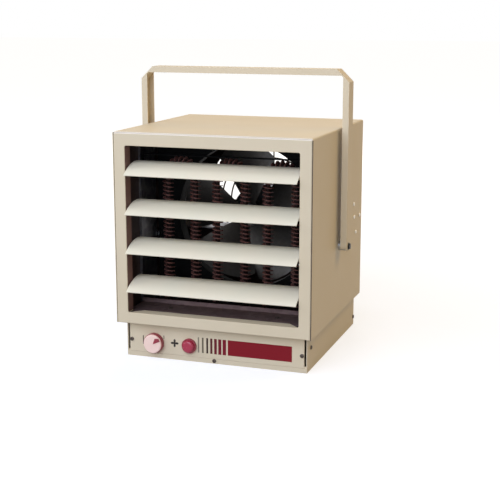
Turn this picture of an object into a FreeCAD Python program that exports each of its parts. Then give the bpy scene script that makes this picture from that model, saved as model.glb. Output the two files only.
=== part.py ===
import FreeCAD, Part
import math
import operator
import os
from types import SimpleNamespace

import Sketcher

# Unit heater: a sheet-steel casing with louvers, finned elements and a fan, a control box below it
# and a channel bracket that swings on two bolts. Millimetres. X runs to the right, Y to the rear and
# Z up. The origin is on the underside of the control box, at the middle of the casing.

SIZES = (
    # Casing
    ("casing_width", 340.0, "casing, side to side"),
    ("casing_height", 322.0, "casing, without the control box"),
    ("casing_depth", 330.0, "casing, front to rear"),
    ("sheet", 1.2, "steel sheet of the casing and the control box"),
    ("bend_radius", 3.0, "outer radius of the casing's two top bends"),
    ("seam_gap", 0.3, "clearance between nested sheets"),
    ("pan_flange", 9.0, "outer return of the front frame and the rear panel"),
    ("base_flange", 14.0, "upturned edges of the casing base"),
    # Outlet frame
    ("rail_side", 21.0, "front frame, width of the upright rails"),
    ("rail_top", 22.5, "front frame, top rail"),
    ("rail_bottom", 19.0, "front frame, bottom rail"),
    ("return_depth", 21.0, "inner returns round the outlet"),
    ("outlet_radius", 3.0, "corner radius of the outlet"),
    ("frame_edge", 1.5, "rounded outer edges of the front frame"),
    ("outlet_edge", 1.0, "rounded edge of the outlet"),
    # Louvers
    ("louver_top", 47.3, "highest blade's front edge below the head"),
    ("louver_first", 37.6, "lowest blade's front edge above the sill"),
    ("louver_radius", 78.0, "upper face of the blade's curve"),
    ("louver_run", 50.0, "front edge to crest, along the depth"),
    ("louver_tail", 12.0, "crest to rear edge, along the depth"),
    ("louver_sheet", 1.2, "blade sheet"),
    ("louver_proud", 10.0, "front edge ahead of the frame"),
    ("louver_end_gap", 2.0, "blade end to the return"),
    ("pin_back", 22.0, "pivot pin behind the front edge"),
    ("pin_drop", 4.9346, "pivot pin below the blade's upper face"),
    ("pin_radius", 2.0, "pivot pin"),
    ("pin_head_radius", 3.6, "pivot pin's riveted head"),
    ("pin_head", 1.5, "thickness of that head"),
    ("ear_radius", 4.6, "ear that carries the pin"),
    ("ear_thick", 2.5, "ear, along the blade"),
    ("running_gap", 0.05, "radial clearance of turning pins and shafts"),
    # Bracket and its pivots
    ("bracket_gap", 5.9, "bracket flange to casing side"),
    ("bracket_flange", 10.5, "depth of the channel"),
    ("bracket_width", 29.5, "width of the channel"),
    ("bracket_sheet", 2.0, "channel sheet"),
    ("bracket_rise", 98.0, "crossbar's top above the casing"),
    ("bracket_corner", 21.0, "leg of the 45 degree corners"),
    ("bracket_tail", 7.5, "leg below the pivot"),
    ("bracket_end_radius", 11.0, "rounded corners of the leg ends"),
    ("bracket_hole_radius", 4.5, "mounting holes in the crossbar"),
    ("bracket_hole_spacing", 200.0, "from one mounting hole to the other"),
    ("pivot_height", 121.5, "pivot above the casing's underside"),
    ("pivot_back", 170.0, "pivot behind the casing's front"),
    ("pivot_radius", 3.0, "pivot bolt shank"),
    ("pivot_head_radius", 4.8, "pivot bolt head"),
    ("pivot_head", 2.2, "height of that head"),
    ("washer_radius", 6.0, "pivot washer"),
    ("washer_thick", 0.8, "pivot washer"),
    ("spacer_radius", 8.0, "spacer between leg and casing"),
    ("nut_radius", 7.0, "weld nut inside the casing"),
    ("nut_height", 7.0, "weld nut inside the casing"),
    # Inner shields
    ("shield_sheet", 0.8, "bare sheet of the inner shields"),
    ("shield_gap", 3.8, "shield to casing wall"),
    ("shield_front", 96.0, "shield's front edge behind the casing's front"),
    ("shield_rear", 159.0, "shield's rear edge behind the casing's front"),
    ("shield_top_gap", 8.0, "top shield below the casing top"),
    ("floor_inset", 8.5, "floor plate to casing side, inside"),
    ("floor_rise", 13.6, "floor plate above the base"),
    ("floor_front", 24.0, "floor plate's front edge behind the casing's front"),
    ("floor_depth", 63.0, "floor plate, front to rear"),
    ("floor_upstand", 7.0, "floor plate's rear edge, turned up"),
    ("floor_screw_spread", 95.5, "floor screws, either side of the middle"),
    ("floor_screw_back", 57.0, "floor screws behind the casing's front"),
    # Heating elements
    ("element_back", 100.0, "elements behind the casing's front"),
    ("element_pitch", 90.0, "from one hairpin to the next"),
    ("element_legs", 50.0, "between the two legs of a hairpin"),
    ("element_headroom", 83.0, "centre of the bends below the casing top"),
    ("tube_radius", 4.25, "element sheath"),
    ("fin_radius", 9.5, "fins on the sheath"),
    ("fin_thick", 0.7, "fins on the sheath"),
    ("fin_pitch", 7.0, "from one fin to the next"),
    ("fin_start", 9.0, "first fin above the floor plate"),
    ("cold_end", 9.0, "sheath below the casing's underside"),
    ("bushing_radius", 7.0, "ceramic bushing through the base"),
    ("bushing_flange_radius", 9.0, "bushing's flange on the base"),
    ("bushing_flange", 4.0, "thickness of that flange"),
    ("bushing_drop", 6.0, "bushing below the base"),
    ("stud_radius", 2.5, "terminal stud"),
    ("stud_length", 12.0, "terminal stud"),
    ("stud_nut_radius", 5.0, "terminal nut"),
    ("rail_width", 12.0, "rail over the bends"),
    ("limit_radius", 8.0, "over-heat switch"),
    ("limit_height", 10.0, "over-heat switch"),
    # Fan, shroud and motor
    ("fan_radius", 124.0, "blade tips"),
    ("fan_blades", 5.0, "number of blades"),
    ("fan_turn", 49.0, "rest angle of the blades, degrees"),
    ("tip_gap", 4.0, "blade tip to shroud ring"),
    ("hub_radius", 22.0, "fan hub"),
    ("hub_length", 26.0, "fan hub"),
    ("blade_sheet", 1.6, "fan blade"),
    ("blade_root", 38.0, "chord at the hub"),
    ("blade_tip", 128.0, "chord at the tip"),
    ("blade_root_pitch", 42.0, "blade angle at the hub, degrees"),
    ("blade_tip_pitch", 20.0, "blade angle at the tip, degrees"),
    ("shroud_flange", 12.0, "shroud's edges, turned to the rear"),
    ("shroud_ring", 25.0, "depth of the shroud's ring"),
    ("shaft_radius", 4.0, "motor shaft"),
    ("motor_radius", 42.0, "motor body"),
    ("motor_length", 78.0, "motor body"),
    ("motor_boss_radius", 14.0, "bearing bosses of the motor"),
    ("motor_boss", 4.0, "height of those bosses"),
    ("motor_edge", 5.0, "rounded rims of the motor body"),
    ("cradle_sheet", 1.5, "motor cradle"),
    ("cradle_front", 262.0, "cradle's front edge behind the casing's front"),
    ("cradle_rear", 320.0, "cradle's rear edge behind the casing's front"),
    ("cradle_flange", 67.5, "height of the cradle's end flanges"),
    ("strap_width", 18.0, "strap over the motor"),
    ("strap_foot", 14.0, "strap's feet on the cradle"),
    # Rear
    ("intake_radius", 131.0, "air intake in the rear panel"),
    ("wire_radius", 1.6, "guard wire"),
    ("guard_overlap", 7.0, "guard's rim beyond the intake"),
    ("guard_pitch", 18.0, "from one ring of the guard to the next"),
    ("tab_length", 20.0, "guard's fixing tabs"),
    ("tab_width", 14.0, "guard's fixing tabs"),
    # Control box
    ("control_height", 61.0, "control box"),
    ("control_inset", 11.0, "casing side to control box side"),
    ("control_setback", 17.0, "casing front to control box front"),
    ("tray_flange", 12.0, "tray's top edges, turned in"),
    ("tray_stop", 16.0, "tray's front edges behind the cover"),
    ("lip_height", 8.0, "tray's front lip"),
    ("slot_end", 3.0, "slots beside the cover, from the tray's lip and top"),
    ("cover_inset", 5.0, "tray side to cover edge"),
    ("cover_screw_inset", 3.5, "cover screws from the cover's edge"),
    ("cover_screw_height", 29.0, "cover screws above the underside"),
    ("cable_radius", 11.1, "cable entry in the rear plate"),
    ("cable_inset", 59.0, "cable entry to the box's right side"),
    ("cable_height", 30.0, "cable entry above the underside"),
    # Thermostat and button
    ("knob_inset", 50.5, "knob to the box's left side"),
    ("knob_height", 26.6, "knob above the underside"),
    ("knob_radius", 17.0, "knob skirt"),
    ("knob_skirt", 8.0, "depth of the skirt"),
    ("knob_cap_radius", 16.0, "cap on the skirt"),
    ("knob_cap", 3.4, "thickness of the cap"),
    ("knob_gap", 0.5, "skirt to cover"),
    ("knob_shaft_radius", 3.0, "thermostat shaft"),
    ("thermostat_width", 42.0, "thermostat body"),
    ("thermostat_height", 38.0, "thermostat body"),
    ("thermostat_depth", 40.0, "thermostat body"),
    ("button_right", 63.1, "knob to button"),
    ("button_height", 27.0, "button above the underside"),
    ("button_radius", 10.4, "button cap"),
    ("button_gap", 0.2, "cap to bezel"),
    ("button_travel", 3.0, "press of the button"),
    ("button_proud", 10.0, "top of the cap ahead of the cover"),
    ("bezel_radius", 12.6, "bezel round the button"),
    ("bezel_proud", 4.5, "bezel ahead of the cover"),
    ("bezel_neck", 0.6, "wall of the bezel's neck through the cover"),
    ("bezel_reach", 4.0, "neck behind the cover's front"),
    ("switch_width", 28.0, "switch body behind the button"),
    ("switch_depth", 32.0, "switch body behind the button"),
    # Parts inside the control box
    ("contactor_width", 50.0, "contactor"),
    ("contactor_depth", 62.0, "contactor"),
    ("contactor_height", 46.0, "contactor"),
    ("contactor_back", 40.0, "contactor behind the elements"),
    ("block_width", 70.0, "terminal block"),
    ("block_depth", 24.0, "terminal block"),
    ("block_height", 24.0, "terminal block"),
    ("block_back", 80.0, "terminal block ahead of the rear"),
    ("pole_radius", 3.2, "terminal block's screw wells"),
    ("lug_radius", 6.0, "earth lug"),
    # Small screws
    ("screw_radius", 1.9, "screw shank"),
    ("screw_head_radius", 3.4, "screw head"),
    ("screw_head", 2.0, "height of the head"),
    ("screw_length", 7.0, "screw shank"),
    ("screw_gap", 0.1, "screw hole clearance, radial"),
)

doc = FreeCAD.newDocument("UnitHeater")
sheet = doc.addObject("Spreadsheet::Sheet", "Sizes")
for row, (alias, value, meaning) in enumerate(SIZES, start=1):
    sheet.set(f"A{row}", meaning)
    sheet.set(f"B{row}", str(value))
    sheet.setAlias(f"B{row}", alias)
doc.recompute()


class Size:
    """A value with the expression that gives it, so that sums of sizes stay bound to the sheet."""

    def __init__(self, value, text):
        self.value = value
        self.text = text

    def __add__(self, other):
        return combine("+", self, other)

    def __radd__(self, other):
        return combine("+", other, self)

    def __sub__(self, other):
        return combine("-", self, other)

    def __rsub__(self, other):
        return combine("-", other, self)

    def __mul__(self, other):
        return combine("*", self, other)

    def __rmul__(self, other):
        return combine("*", other, self)

    def __truediv__(self, other):
        return combine("/", self, other)

    def __neg__(self):
        return combine("-", 0.0, self)


OPERATIONS = {"+": operator.add, "-": operator.sub, "*": operator.mul, "/": operator.truediv}


def sized(number):
    return number if isinstance(number, Size) else Size(float(number), repr(float(number)))


def combine(sign, left, right):
    left = sized(left)
    right = sized(right)
    return Size(OPERATIONS[sign](left.value, right.value), f"({left.text} {sign} {right.text})")


def root(square):
    return Size(math.sqrt(square.value), f"sqrt({square.text})")


def bind(item, name, size):
    item.setExpression(name, sized(size).text)


d = SimpleNamespace(**{alias: Size(float(sheet.get(alias)), f"Sizes.{alias}") for alias, _, _ in SIZES})

# Planes and lines that several pieces share.
wall = d.casing_width / 2
inner_wall = wall - d.sheet
nested = inner_wall - d.seam_gap
front = -d.casing_depth / 2
rear = d.casing_depth / 2
floor = d.control_height
ceiling = floor + d.casing_height
nested_top = ceiling - d.sheet - d.seam_gap
base_top = floor + d.sheet
outlet_side = wall - d.rail_side
outlet_sill = floor + d.rail_bottom
outlet_head = ceiling - d.rail_top
louver_pitch = (outlet_head - outlet_sill - d.louver_first - d.louver_top) / 3.0
box_side = wall - d.control_inset
knob_x = d.knob_inset - box_side
button_x = knob_x + d.button_right
cable_x = box_side - d.cable_inset
pivot_y = front + d.pivot_back
pivot_z = floor + d.pivot_height
fan_z = floor + d.casing_height / 2
element_y = front + d.element_back
bend_z = ceiling - d.element_headroom
floor_top = base_top + d.floor_rise + d.sheet
screw_hole = d.screw_radius + d.screw_gap

pieces = []


def piece(item):
    """Keeps a finished sub-part, whose Label names its file."""
    pieces.append(item)
    return item


def new_body(name):
    return doc.addObject("PartDesign::Body", name)


def draw(sketch, outlines):
    """Draws closed outlines, each a list of corner points or a circle (x, y, radius), and pins them."""
    for outline in outlines:
        first = sketch.GeometryCount
        if isinstance(outline, tuple):
            x, y, radius = (sized(value) for value in outline)
            centre = FreeCAD.Vector(x.value, y.value, 0)
            sketch.addGeometry(Part.Circle(centre, FreeCAD.Vector(0, 0, 1), radius.value))
            index = sketch.addConstraint(Sketcher.Constraint("Radius", first, radius.value))
            bind(sketch, f"Constraints[{index}]", radius)
            pin(sketch, first, 3, x, y)
            continue
        corners = [(sized(x), sized(y)) for x, y in outline]
        for (x0, y0), (x1, y1) in zip(corners, corners[1:] + corners[:1]):
            start = FreeCAD.Vector(x0.value, y0.value, 0)
            end = FreeCAD.Vector(x1.value, y1.value, 0)
            sketch.addGeometry(Part.LineSegment(start, end))
        for step, (x, y) in enumerate(corners):
            following = first + (step + 1) % len(corners)
            sketch.addConstraint(Sketcher.Constraint("Coincident", first + step, 2, following, 1))
            pin(sketch, first + step, 1, x, y)


def pin(sketch, geometry, point, x, y):
    """Holds one point of a sketch at two bound distances from its origin."""
    for kind, size in (("DistanceX", x), ("DistanceY", y)):
        if size is None:
            continue
        size = sized(size)
        index = sketch.addConstraint(Sketcher.Constraint(kind, -1, 1, geometry, point, size.value))
        bind(sketch, f"Constraints[{index}]", size)


def new_sketch(body, plane, height):
    """A sketch on one of the body's planes, moved along that plane's normal."""
    sketch = body.newObject("Sketcher::SketchObject", f"{body.Name}_sketch")
    support = next(item for item in body.Origin.OriginFeatures if item.Role == f"{plane}_Plane")
    sketch.AttachmentSupport = [(support, "")]
    sketch.MapMode = "FlatFace"
    bind(sketch, "AttachmentOffset.Base.z", height)
    return sketch


def extrude(body, plane, outlines, start, end, cut=False):
    """Adds or cuts a prism between two places on the axis square to the plane.

    The XZ plane's normal points to -Y, and a pocket runs against its sketch's normal.
    """
    start = sized(start)
    end = sized(end)
    if plane == "XZ":
        height = -start if cut else -end
    else:
        height = end if cut else start
    sketch = new_sketch(body, plane, height)
    draw(sketch, outlines)
    feature = body.newObject("PartDesign::Pocket" if cut else "PartDesign::Pad", f"{body.Name}_prism")
    feature.Profile = sketch
    bind(feature, "Length", end - start)
    return feature


def round_pan(body):
    """Rounds a nested pan's two top corners, so that they clear the inside of the casing's bends."""
    round_edges(body, d.bend_radius - d.sheet, lambda middle, along: abs(along.y) > 0.9
                and abs(abs(middle.x) - nested.value) < 0.01 and abs(middle.z - nested_top.value) < 0.01)


def rectangle(x0, x1, y0, y1):
    return [(x0, y0), (x1, y0), (x1, y1), (x0, y1)]


def round_edges(body, radius, chosen, curve=Part.Line):
    """Rounds the edges of the body's last feature whose kind, middle and direction pass the test."""
    doc.recompute()
    base = body.Tip
    names = []
    for number, edge in enumerate(base.Shape.Edges, start=1):
        middle = edge.valueAt((edge.FirstParameter + edge.LastParameter) / 2)
        along = edge.tangentAt((edge.FirstParameter + edge.LastParameter) / 2)
        if isinstance(edge.Curve, curve) and chosen(middle, along):
            names.append(f"Edge{number}")
    feature = body.newObject("PartDesign::Fillet", f"{body.Name}_round")
    feature.Base = (base, names)
    bind(feature, "Radius", radius)
    return feature


TURNS = {
    "X": FreeCAD.Rotation(FreeCAD.Vector(0, 1, 0), 90),
    "Y": FreeCAD.Rotation(FreeCAD.Vector(1, 0, 0), -90),
    "Z": FreeCAD.Rotation(),
}


def place(item, x, y, z, axis="Z"):
    item.Placement = FreeCAD.Placement(FreeCAD.Vector(), TURNS[axis])
    for name, size in (("x", x), ("y", y), ("z", z)):
        bind(item, f"Placement.Base.{name}", size)
    return item


def rod(name, axis, x, y, z, radius, length):
    """A cylinder that starts at a point and runs along an axis."""
    item = doc.addObject("Part::Cylinder", name)
    bind(item, "Radius", radius)
    bind(item, "Height", length)
    return place(item, x, y, z, axis)


def tube(name, axis, x, y, z, radius, bore, length):
    outer = rod(f"{name}_outer", axis, x, y, z, radius, length)
    hole = rod(f"{name}_bore", axis, x, y, z, bore, length)
    return cut(name, outer, hole)


def block(name, x0, x1, y0, y1, z0, z1):
    item = doc.addObject("Part::Box", name)
    bind(item, "Length", x1 - x0)
    bind(item, "Width", y1 - y0)
    bind(item, "Height", z1 - z0)
    return place(item, x0, y0, z0)


def cut(name, base, tool):
    item = doc.addObject("Part::Cut", name)
    item.Base = base
    item.Tool = tool
    return item


def fuse(name, items):
    item = doc.addObject("Part::MultiFuse", name)
    item.Shapes = items
    item.Refine = True
    return item


def group(name, items):
    """Like pieces that share one file, each still a solid of its own."""
    item = doc.addObject("Part::Compound", name)
    item.Links = items
    return item


def screw(name, axis, sign, x, y, z, length):
    """A screw seated at a point, with its shank along sign times the axis and its head outside."""
    shift = {"X": (1, 0, 0), "Y": (0, 1, 0), "Z": (0, 0, 1)}[axis]
    shank_start = [place_ + sized(step) * (0.0 if sign > 0 else -1.0) * length
                   for place_, step in zip((x, y, z), shift)]
    head_start = [place_ + sized(step) * (-1.0 if sign > 0 else 0.0) * d.screw_head
                  for place_, step in zip((x, y, z), shift)]
    shank = rod(f"{name}_shank", axis, *shank_start, d.screw_radius, length)
    head = rod(f"{name}_head", axis, *head_start, d.screw_head_radius, d.screw_head)
    return fuse(name, [shank, head])


def mirrored(spots):
    """Each spot on the right, with its twin on the left."""
    return [(side, spot) for side in (-1, 1) for spot in spots]


# Casing wrap: one sheet bent over the top, open below, with holes for the pivots and the cradle screws.
CRADLE_SPOTS = (
    (d.cradle_front + 6.5, 177.4),
    (d.cradle_front + 11.2, 153.6),
    (d.cradle_front + 24.4, 124.1),
    (d.cradle_front + 51.7, 150.7),
)
cradle_spots = [(front + back, floor + height) for back, height in CRADLE_SPOTS]

wrap = new_body("casing_wrap")
extrude(wrap, "XZ", [[
    (-wall, floor), (-wall, ceiling), (wall, ceiling), (wall, floor),
    (inner_wall, floor), (inner_wall, ceiling - d.sheet),
    (-inner_wall, ceiling - d.sheet), (-inner_wall, floor),
]], front, rear)
round_edges(wrap, d.bend_radius, lambda middle, along: abs(along.y) > 0.9
            and abs(middle.z - ceiling.value) < 0.01)
round_edges(wrap, d.bend_radius - d.sheet, lambda middle, along: abs(along.y) > 0.9
            and abs(middle.z - ceiling.value + d.sheet.value) < 0.01)
side_holes = [(pivot_y, pivot_z, d.pivot_radius + d.screw_gap)]
side_holes += [(y, z, screw_hole) for y, z in cradle_spots]
extrude(wrap, "YZ", side_holes, -wall, wall, cut=True)
piece(wrap)

# Casing base: a pan between the walls, with bushing holes and the floor screws' holes.
base_front = front + d.pan_flange + d.seam_gap
base_rear = rear - d.pan_flange - d.seam_gap
leg_places = [shift * d.element_pitch + half * d.element_legs / 2 for shift in (-1, 0, 1) for half in (-1, 1)]
floor_screw_y = front + d.floor_screw_back
base = new_body("casing_base")
extrude(base, "YZ", [[
    (base_front, floor), (base_rear, floor), (base_rear, floor + d.base_flange),
    (base_rear - d.sheet, floor + d.base_flange), (base_rear - d.sheet, base_top),
    (base_front + d.sheet, base_top), (base_front + d.sheet, floor + d.base_flange),
    (base_front, floor + d.base_flange),
]], -nested, nested)
base_holes = [(x, element_y, d.bushing_radius + d.screw_gap) for x in leg_places]
base_holes += [(side * d.floor_screw_spread, floor_screw_y, screw_hole) for side in (-1, 1)]
extrude(base, "XY", base_holes, floor, base_top, cut=True)
piece(base)

# Front frame: a pan nested in the wrap, with returns round the outlet that carry the louver pins.
tip_y = front - d.louver_proud
pin_y = tip_y + d.pin_back
pin_reach = d.louver_run - d.pin_back
blade_square = d.louver_radius * d.louver_radius
pin_rise = (root(blade_square - pin_reach * pin_reach) - root(blade_square - d.louver_run * d.louver_run)
            - d.pin_drop)
tip_heights = [outlet_sill + d.louver_first + index * louver_pitch for index in range(4)]
return_end = front + d.return_depth
frame = new_body("front_frame")
outlet = rectangle(-outlet_side, outlet_side, outlet_sill, outlet_head)
extrude(frame, "XZ", [rectangle(-nested, nested, floor, nested_top), outlet], front, front + d.sheet)
extrude(frame, "XZ", [
    rectangle(-nested, nested, floor, nested_top),
    rectangle(d.sheet - nested, nested - d.sheet, base_top, nested_top - d.sheet),
], front, front + d.pan_flange)
round_pan(frame)
extrude(frame, "XZ", [
    rectangle(-outlet_side - d.sheet, outlet_side + d.sheet, outlet_sill - d.sheet, outlet_head + d.sheet),
    outlet,
], front, return_end)
mitre = [[
    (side * outlet_side, front + d.sheet), (side * outlet_side, return_end),
    (side * (outlet_side - d.return_depth), return_end),
] for side in (-1, 1)]
extrude(frame, "XY", mitre, outlet_sill - d.sheet, outlet_head + d.sheet, cut=True)
round_edges(frame, d.outlet_radius, lambda middle, along: abs(along.y) > 0.9
            and abs(abs(middle.x) - outlet_side.value) < 0.01 and middle.y < front.value + d.sheet.value
            and min(abs(middle.z - outlet_sill.value), abs(middle.z - outlet_head.value)) < 0.01)
extrude(frame, "YZ", [(pin_y, tip + pin_rise, d.pin_radius + d.running_gap) for tip in tip_heights],
        -outlet_side - d.sheet, outlet_side + d.sheet, cut=True)
round_edges(frame, d.frame_edge, lambda middle, along: abs(middle.y - front.value) < 0.01
            and not (abs(middle.x) < outlet_side.value + 1.0
                     and outlet_sill.value - 1.0 < middle.z < outlet_head.value + 1.0), (Part.Line, Part.Circle))
round_edges(frame, d.outlet_edge, lambda middle, along: abs(middle.y - front.value) < 0.01
            and abs(middle.x) < outlet_side.value + 1.0
            and outlet_sill.value - 1.0 < middle.z < outlet_head.value + 1.0, (Part.Line, Part.Circle))
piece(frame)

# Louvers: curved blades with an ear at each end for a pivot pin.
blade_half = outlet_side - d.louver_end_gap
crest_y = tip_y + d.louver_run
tail_y = crest_y + d.louver_tail
under_radius = d.louver_radius - d.louver_sheet


def louver(name, tip_z):
    """A blade bent to a circular arc whose crest lies behind its low front edge."""
    body = new_body(name)
    centre_z = tip_z - root(d.louver_radius * d.louver_radius - d.louver_run * d.louver_run)
    sketch = new_sketch(body, "YZ", -blade_half)
    middle = FreeCAD.Vector(crest_y.value, centre_z.value, 0)
    tip_angle = math.pi / 2 + math.asin(d.louver_run.value / d.louver_radius.value)
    tail_angle = math.pi / 2 - math.asin(d.louver_tail.value / d.louver_radius.value)
    corners = []
    for radius in (d.louver_radius, under_radius):
        circle = Part.Circle(middle, FreeCAD.Vector(0, 0, 1), radius.value)
        arc = sketch.addGeometry(Part.ArcOfCircle(circle, tail_angle, tip_angle))
        index = sketch.addConstraint(Sketcher.Constraint("Radius", arc, radius.value))
        bind(sketch, f"Constraints[{index}]", radius)
        pin(sketch, arc, 3, crest_y, centre_z)
        share = radius / d.louver_radius
        pin(sketch, arc, 1, crest_y + d.louver_tail * share, None)
        pin(sketch, arc, 2, crest_y - d.louver_run * share, None)
        corners.append((arc, radius.value))
    for point, angle in ((1, tail_angle), (2, tip_angle)):
        ends = [middle + FreeCAD.Vector(math.cos(angle), math.sin(angle), 0) * radius for _, radius in corners]
        edge = sketch.addGeometry(Part.LineSegment(*ends))
        sketch.addConstraint(Sketcher.Constraint("Coincident", edge, 1, corners[0][0], point))
        sketch.addConstraint(Sketcher.Constraint("Coincident", edge, 2, corners[1][0], point))
    blade = body.newObject("PartDesign::Pad", f"{name}_blade")
    blade.Profile = sketch
    bind(blade, "Length", 2 * blade_half)
    pin_z = tip_z + pin_rise
    for start in (-blade_half, blade_half - d.ear_thick):
        extrude(body, "YZ", [(pin_y, pin_z, d.ear_radius)], start, start + d.ear_thick)
    extrude(body, "YZ", [(pin_y, pin_z, d.pin_radius + d.running_gap)], -blade_half, blade_half, cut=True)
    return piece(body)


for index, tip in enumerate(tip_heights, start=1):
    louver(f"louver_{index}", tip)

# Louver pins: riveted in the upright returns, one through each ear.
pin_inner = blade_half - d.ear_thick - d.running_gap
pin_outer = outlet_side + d.sheet
pins = []
for side, (index, tip) in mirrored(list(enumerate(tip_heights, start=1))):
    name = f"louver_pin_{index}_{'left' if side < 0 else 'right'}"
    start = pin_inner if side > 0 else -pin_outer
    head = pin_outer if side > 0 else -pin_outer - d.pin_head
    height = tip + pin_rise
    pins.append(fuse(name, [
        rod(f"{name}_shank", "X", start, pin_y, height, d.pin_radius, pin_outer - pin_inner),
        rod(f"{name}_head", "X", head, pin_y, height, d.pin_head_radius, d.pin_head),
    ]))
piece(group("louver_pins", pins))

# Inner shields: bare sheets that stand off the side walls and the top on their folded edges.
shield_out = inner_wall - d.shield_gap
shield_in = shield_out - d.shield_sheet
shield_y0 = front + d.shield_front
shield_y1 = front + d.shield_rear
top_plate = ceiling - d.sheet - d.shield_top_gap
for side, name in ((-1, "side_shield_left"), (1, "side_shield_right")):
    shield = new_body(name)
    extrude(shield, "XY", [[
        (side * nested, shield_y0), (side * shield_in, shield_y0),
        (side * shield_in, shield_y1), (side * nested, shield_y1),
        (side * nested, shield_y1 - d.shield_sheet), (side * shield_out, shield_y1 - d.shield_sheet),
        (side * shield_out, shield_y0 + d.shield_sheet), (side * nested, shield_y0 + d.shield_sheet),
    ]], base_top, top_plate - d.seam_gap)
    piece(shield)
top_shield = new_body("top_shield")
extrude(top_shield, "YZ", [[
    (shield_y0, nested_top), (shield_y0, top_plate), (shield_y1, top_plate), (shield_y1, nested_top),
    (shield_y1 - d.shield_sheet, nested_top), (shield_y1 - d.shield_sheet, top_plate + d.shield_sheet),
    (shield_y0 + d.shield_sheet, top_plate + d.shield_sheet), (shield_y0 + d.shield_sheet, nested_top),
]], -shield_in, shield_in)
piece(top_shield)

# Floor plate: a bare sheet on two folded feet, with its rear edge turned up before the elements.
plate_half = inner_wall - d.floor_inset
plate_front = front + d.floor_front
plate_rear = plate_front + d.floor_depth
floor_plate = new_body("floor_plate")
extrude(floor_plate, "XZ", [[
    (-plate_half, base_top), (-plate_half, floor_top), (plate_half, floor_top), (plate_half, base_top),
    (plate_half - d.sheet, base_top), (plate_half - d.sheet, floor_top - d.sheet),
    (d.sheet - plate_half, floor_top - d.sheet), (d.sheet - plate_half, base_top),
]], plate_front, plate_rear)
extrude(floor_plate, "XZ", [rectangle(-plate_half, plate_half, floor_top - d.sheet, floor_top + d.floor_upstand)],
        plate_rear - d.sheet, plate_rear)
plate_holes = [(side * d.floor_screw_spread, floor_screw_y, screw_hole) for side in (-1, 1)]
extrude(floor_plate, "XY", plate_holes, floor_top - d.sheet, floor_top, cut=True)
piece(floor_plate)
floor_screw_length = floor_top - floor + d.screw_length / 2
piece(group("floor_screws", [
    screw(f"floor_screw_{index}", "Z", -1, side * d.floor_screw_spread, floor_screw_y, floor_top,
          floor_screw_length)
    for index, side in enumerate((-1, 1), start=1)
]))


# Heating elements: sheathed hairpins, finned along both legs and round the bend.
def finned_hairpin(name, centre_x):
    """Two turned legs with their fins, joined by a half torus that carries radial fins."""
    reach = d.element_legs.value / 2
    tube_r = d.tube_radius.value
    fin_r = d.fin_radius.value
    thick = d.fin_thick.value
    low = floor.value - d.cold_end.value
    high = bend_z.value
    start = floor_top.value + d.fin_start.value
    count = int((high - start) / d.fin_pitch.value)
    outline = [(0.0, low), (tube_r, low)]
    for step in range(count):
        bottom = start + step * d.fin_pitch.value
        outline += [(tube_r, bottom), (fin_r, bottom), (fin_r, bottom + thick), (tube_r, bottom + thick)]
    outline += [(tube_r, high), (0.0, high), (0.0, low)]
    profile = Part.Face(Part.makePolygon([FreeCAD.Vector(r, 0, z) for r, z in outline]))
    leg = profile.revolve(FreeCAD.Vector(), FreeCAD.Vector(0, 0, 1), 360)
    legs = [leg.translated(FreeCAD.Vector(side * reach, 0, 0)) for side in (-1, 1)]
    centre = FreeCAD.Vector(0, 0, high)
    ring = Part.Face(Part.Wire(Part.makeCircle(tube_r, centre + FreeCAD.Vector(reach, 0, 0),
                                               FreeCAD.Vector(0, 0, 1))))
    bend = ring.revolve(centre, FreeCAD.Vector(0, -1, 0), 180)
    bend_fins = []
    bend_count = int(math.pi * reach / d.fin_pitch.value)
    for step in range(bend_count):
        angle = math.pi * (step + 0.5) / bend_count
        along = FreeCAD.Vector(-math.sin(angle), 0, math.cos(angle))
        spot = centre + FreeCAD.Vector(math.cos(angle), 0, math.sin(angle)) * reach
        bend_fins.append(Part.makeCylinder(fin_r, thick, spot - along * (thick / 2), along))
    item = doc.addObject("Part::Feature", name)
    item.Shape = bend.fuse(legs + bend_fins).removeSplitter()
    place(item, centre_x, element_y, 0.0)
    return piece(item)


for shift, name in ((-1, "left"), (0, "centre"), (1, "right")):
    finned_hairpin(f"heating_element_{name}", shift * d.element_pitch)

# Element rail: a folded strip over the bends, held between the side shields.
rail_under = bend_z + d.element_legs / 2 + d.fin_radius + d.seam_gap
rail_half = shield_in - d.seam_gap
element_rail = new_body("element_rail")
extrude(element_rail, "XZ", [[
    (-rail_half, rail_under - d.rail_width), (-rail_half, rail_under + d.sheet),
    (rail_half, rail_under + d.sheet), (rail_half, rail_under - d.rail_width),
    (rail_half - d.sheet, rail_under - d.rail_width), (rail_half - d.sheet, rail_under),
    (d.sheet - rail_half, rail_under), (d.sheet - rail_half, rail_under - d.rail_width),
]], element_y - d.rail_width / 2, element_y + d.rail_width / 2)
piece(element_rail)

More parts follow.
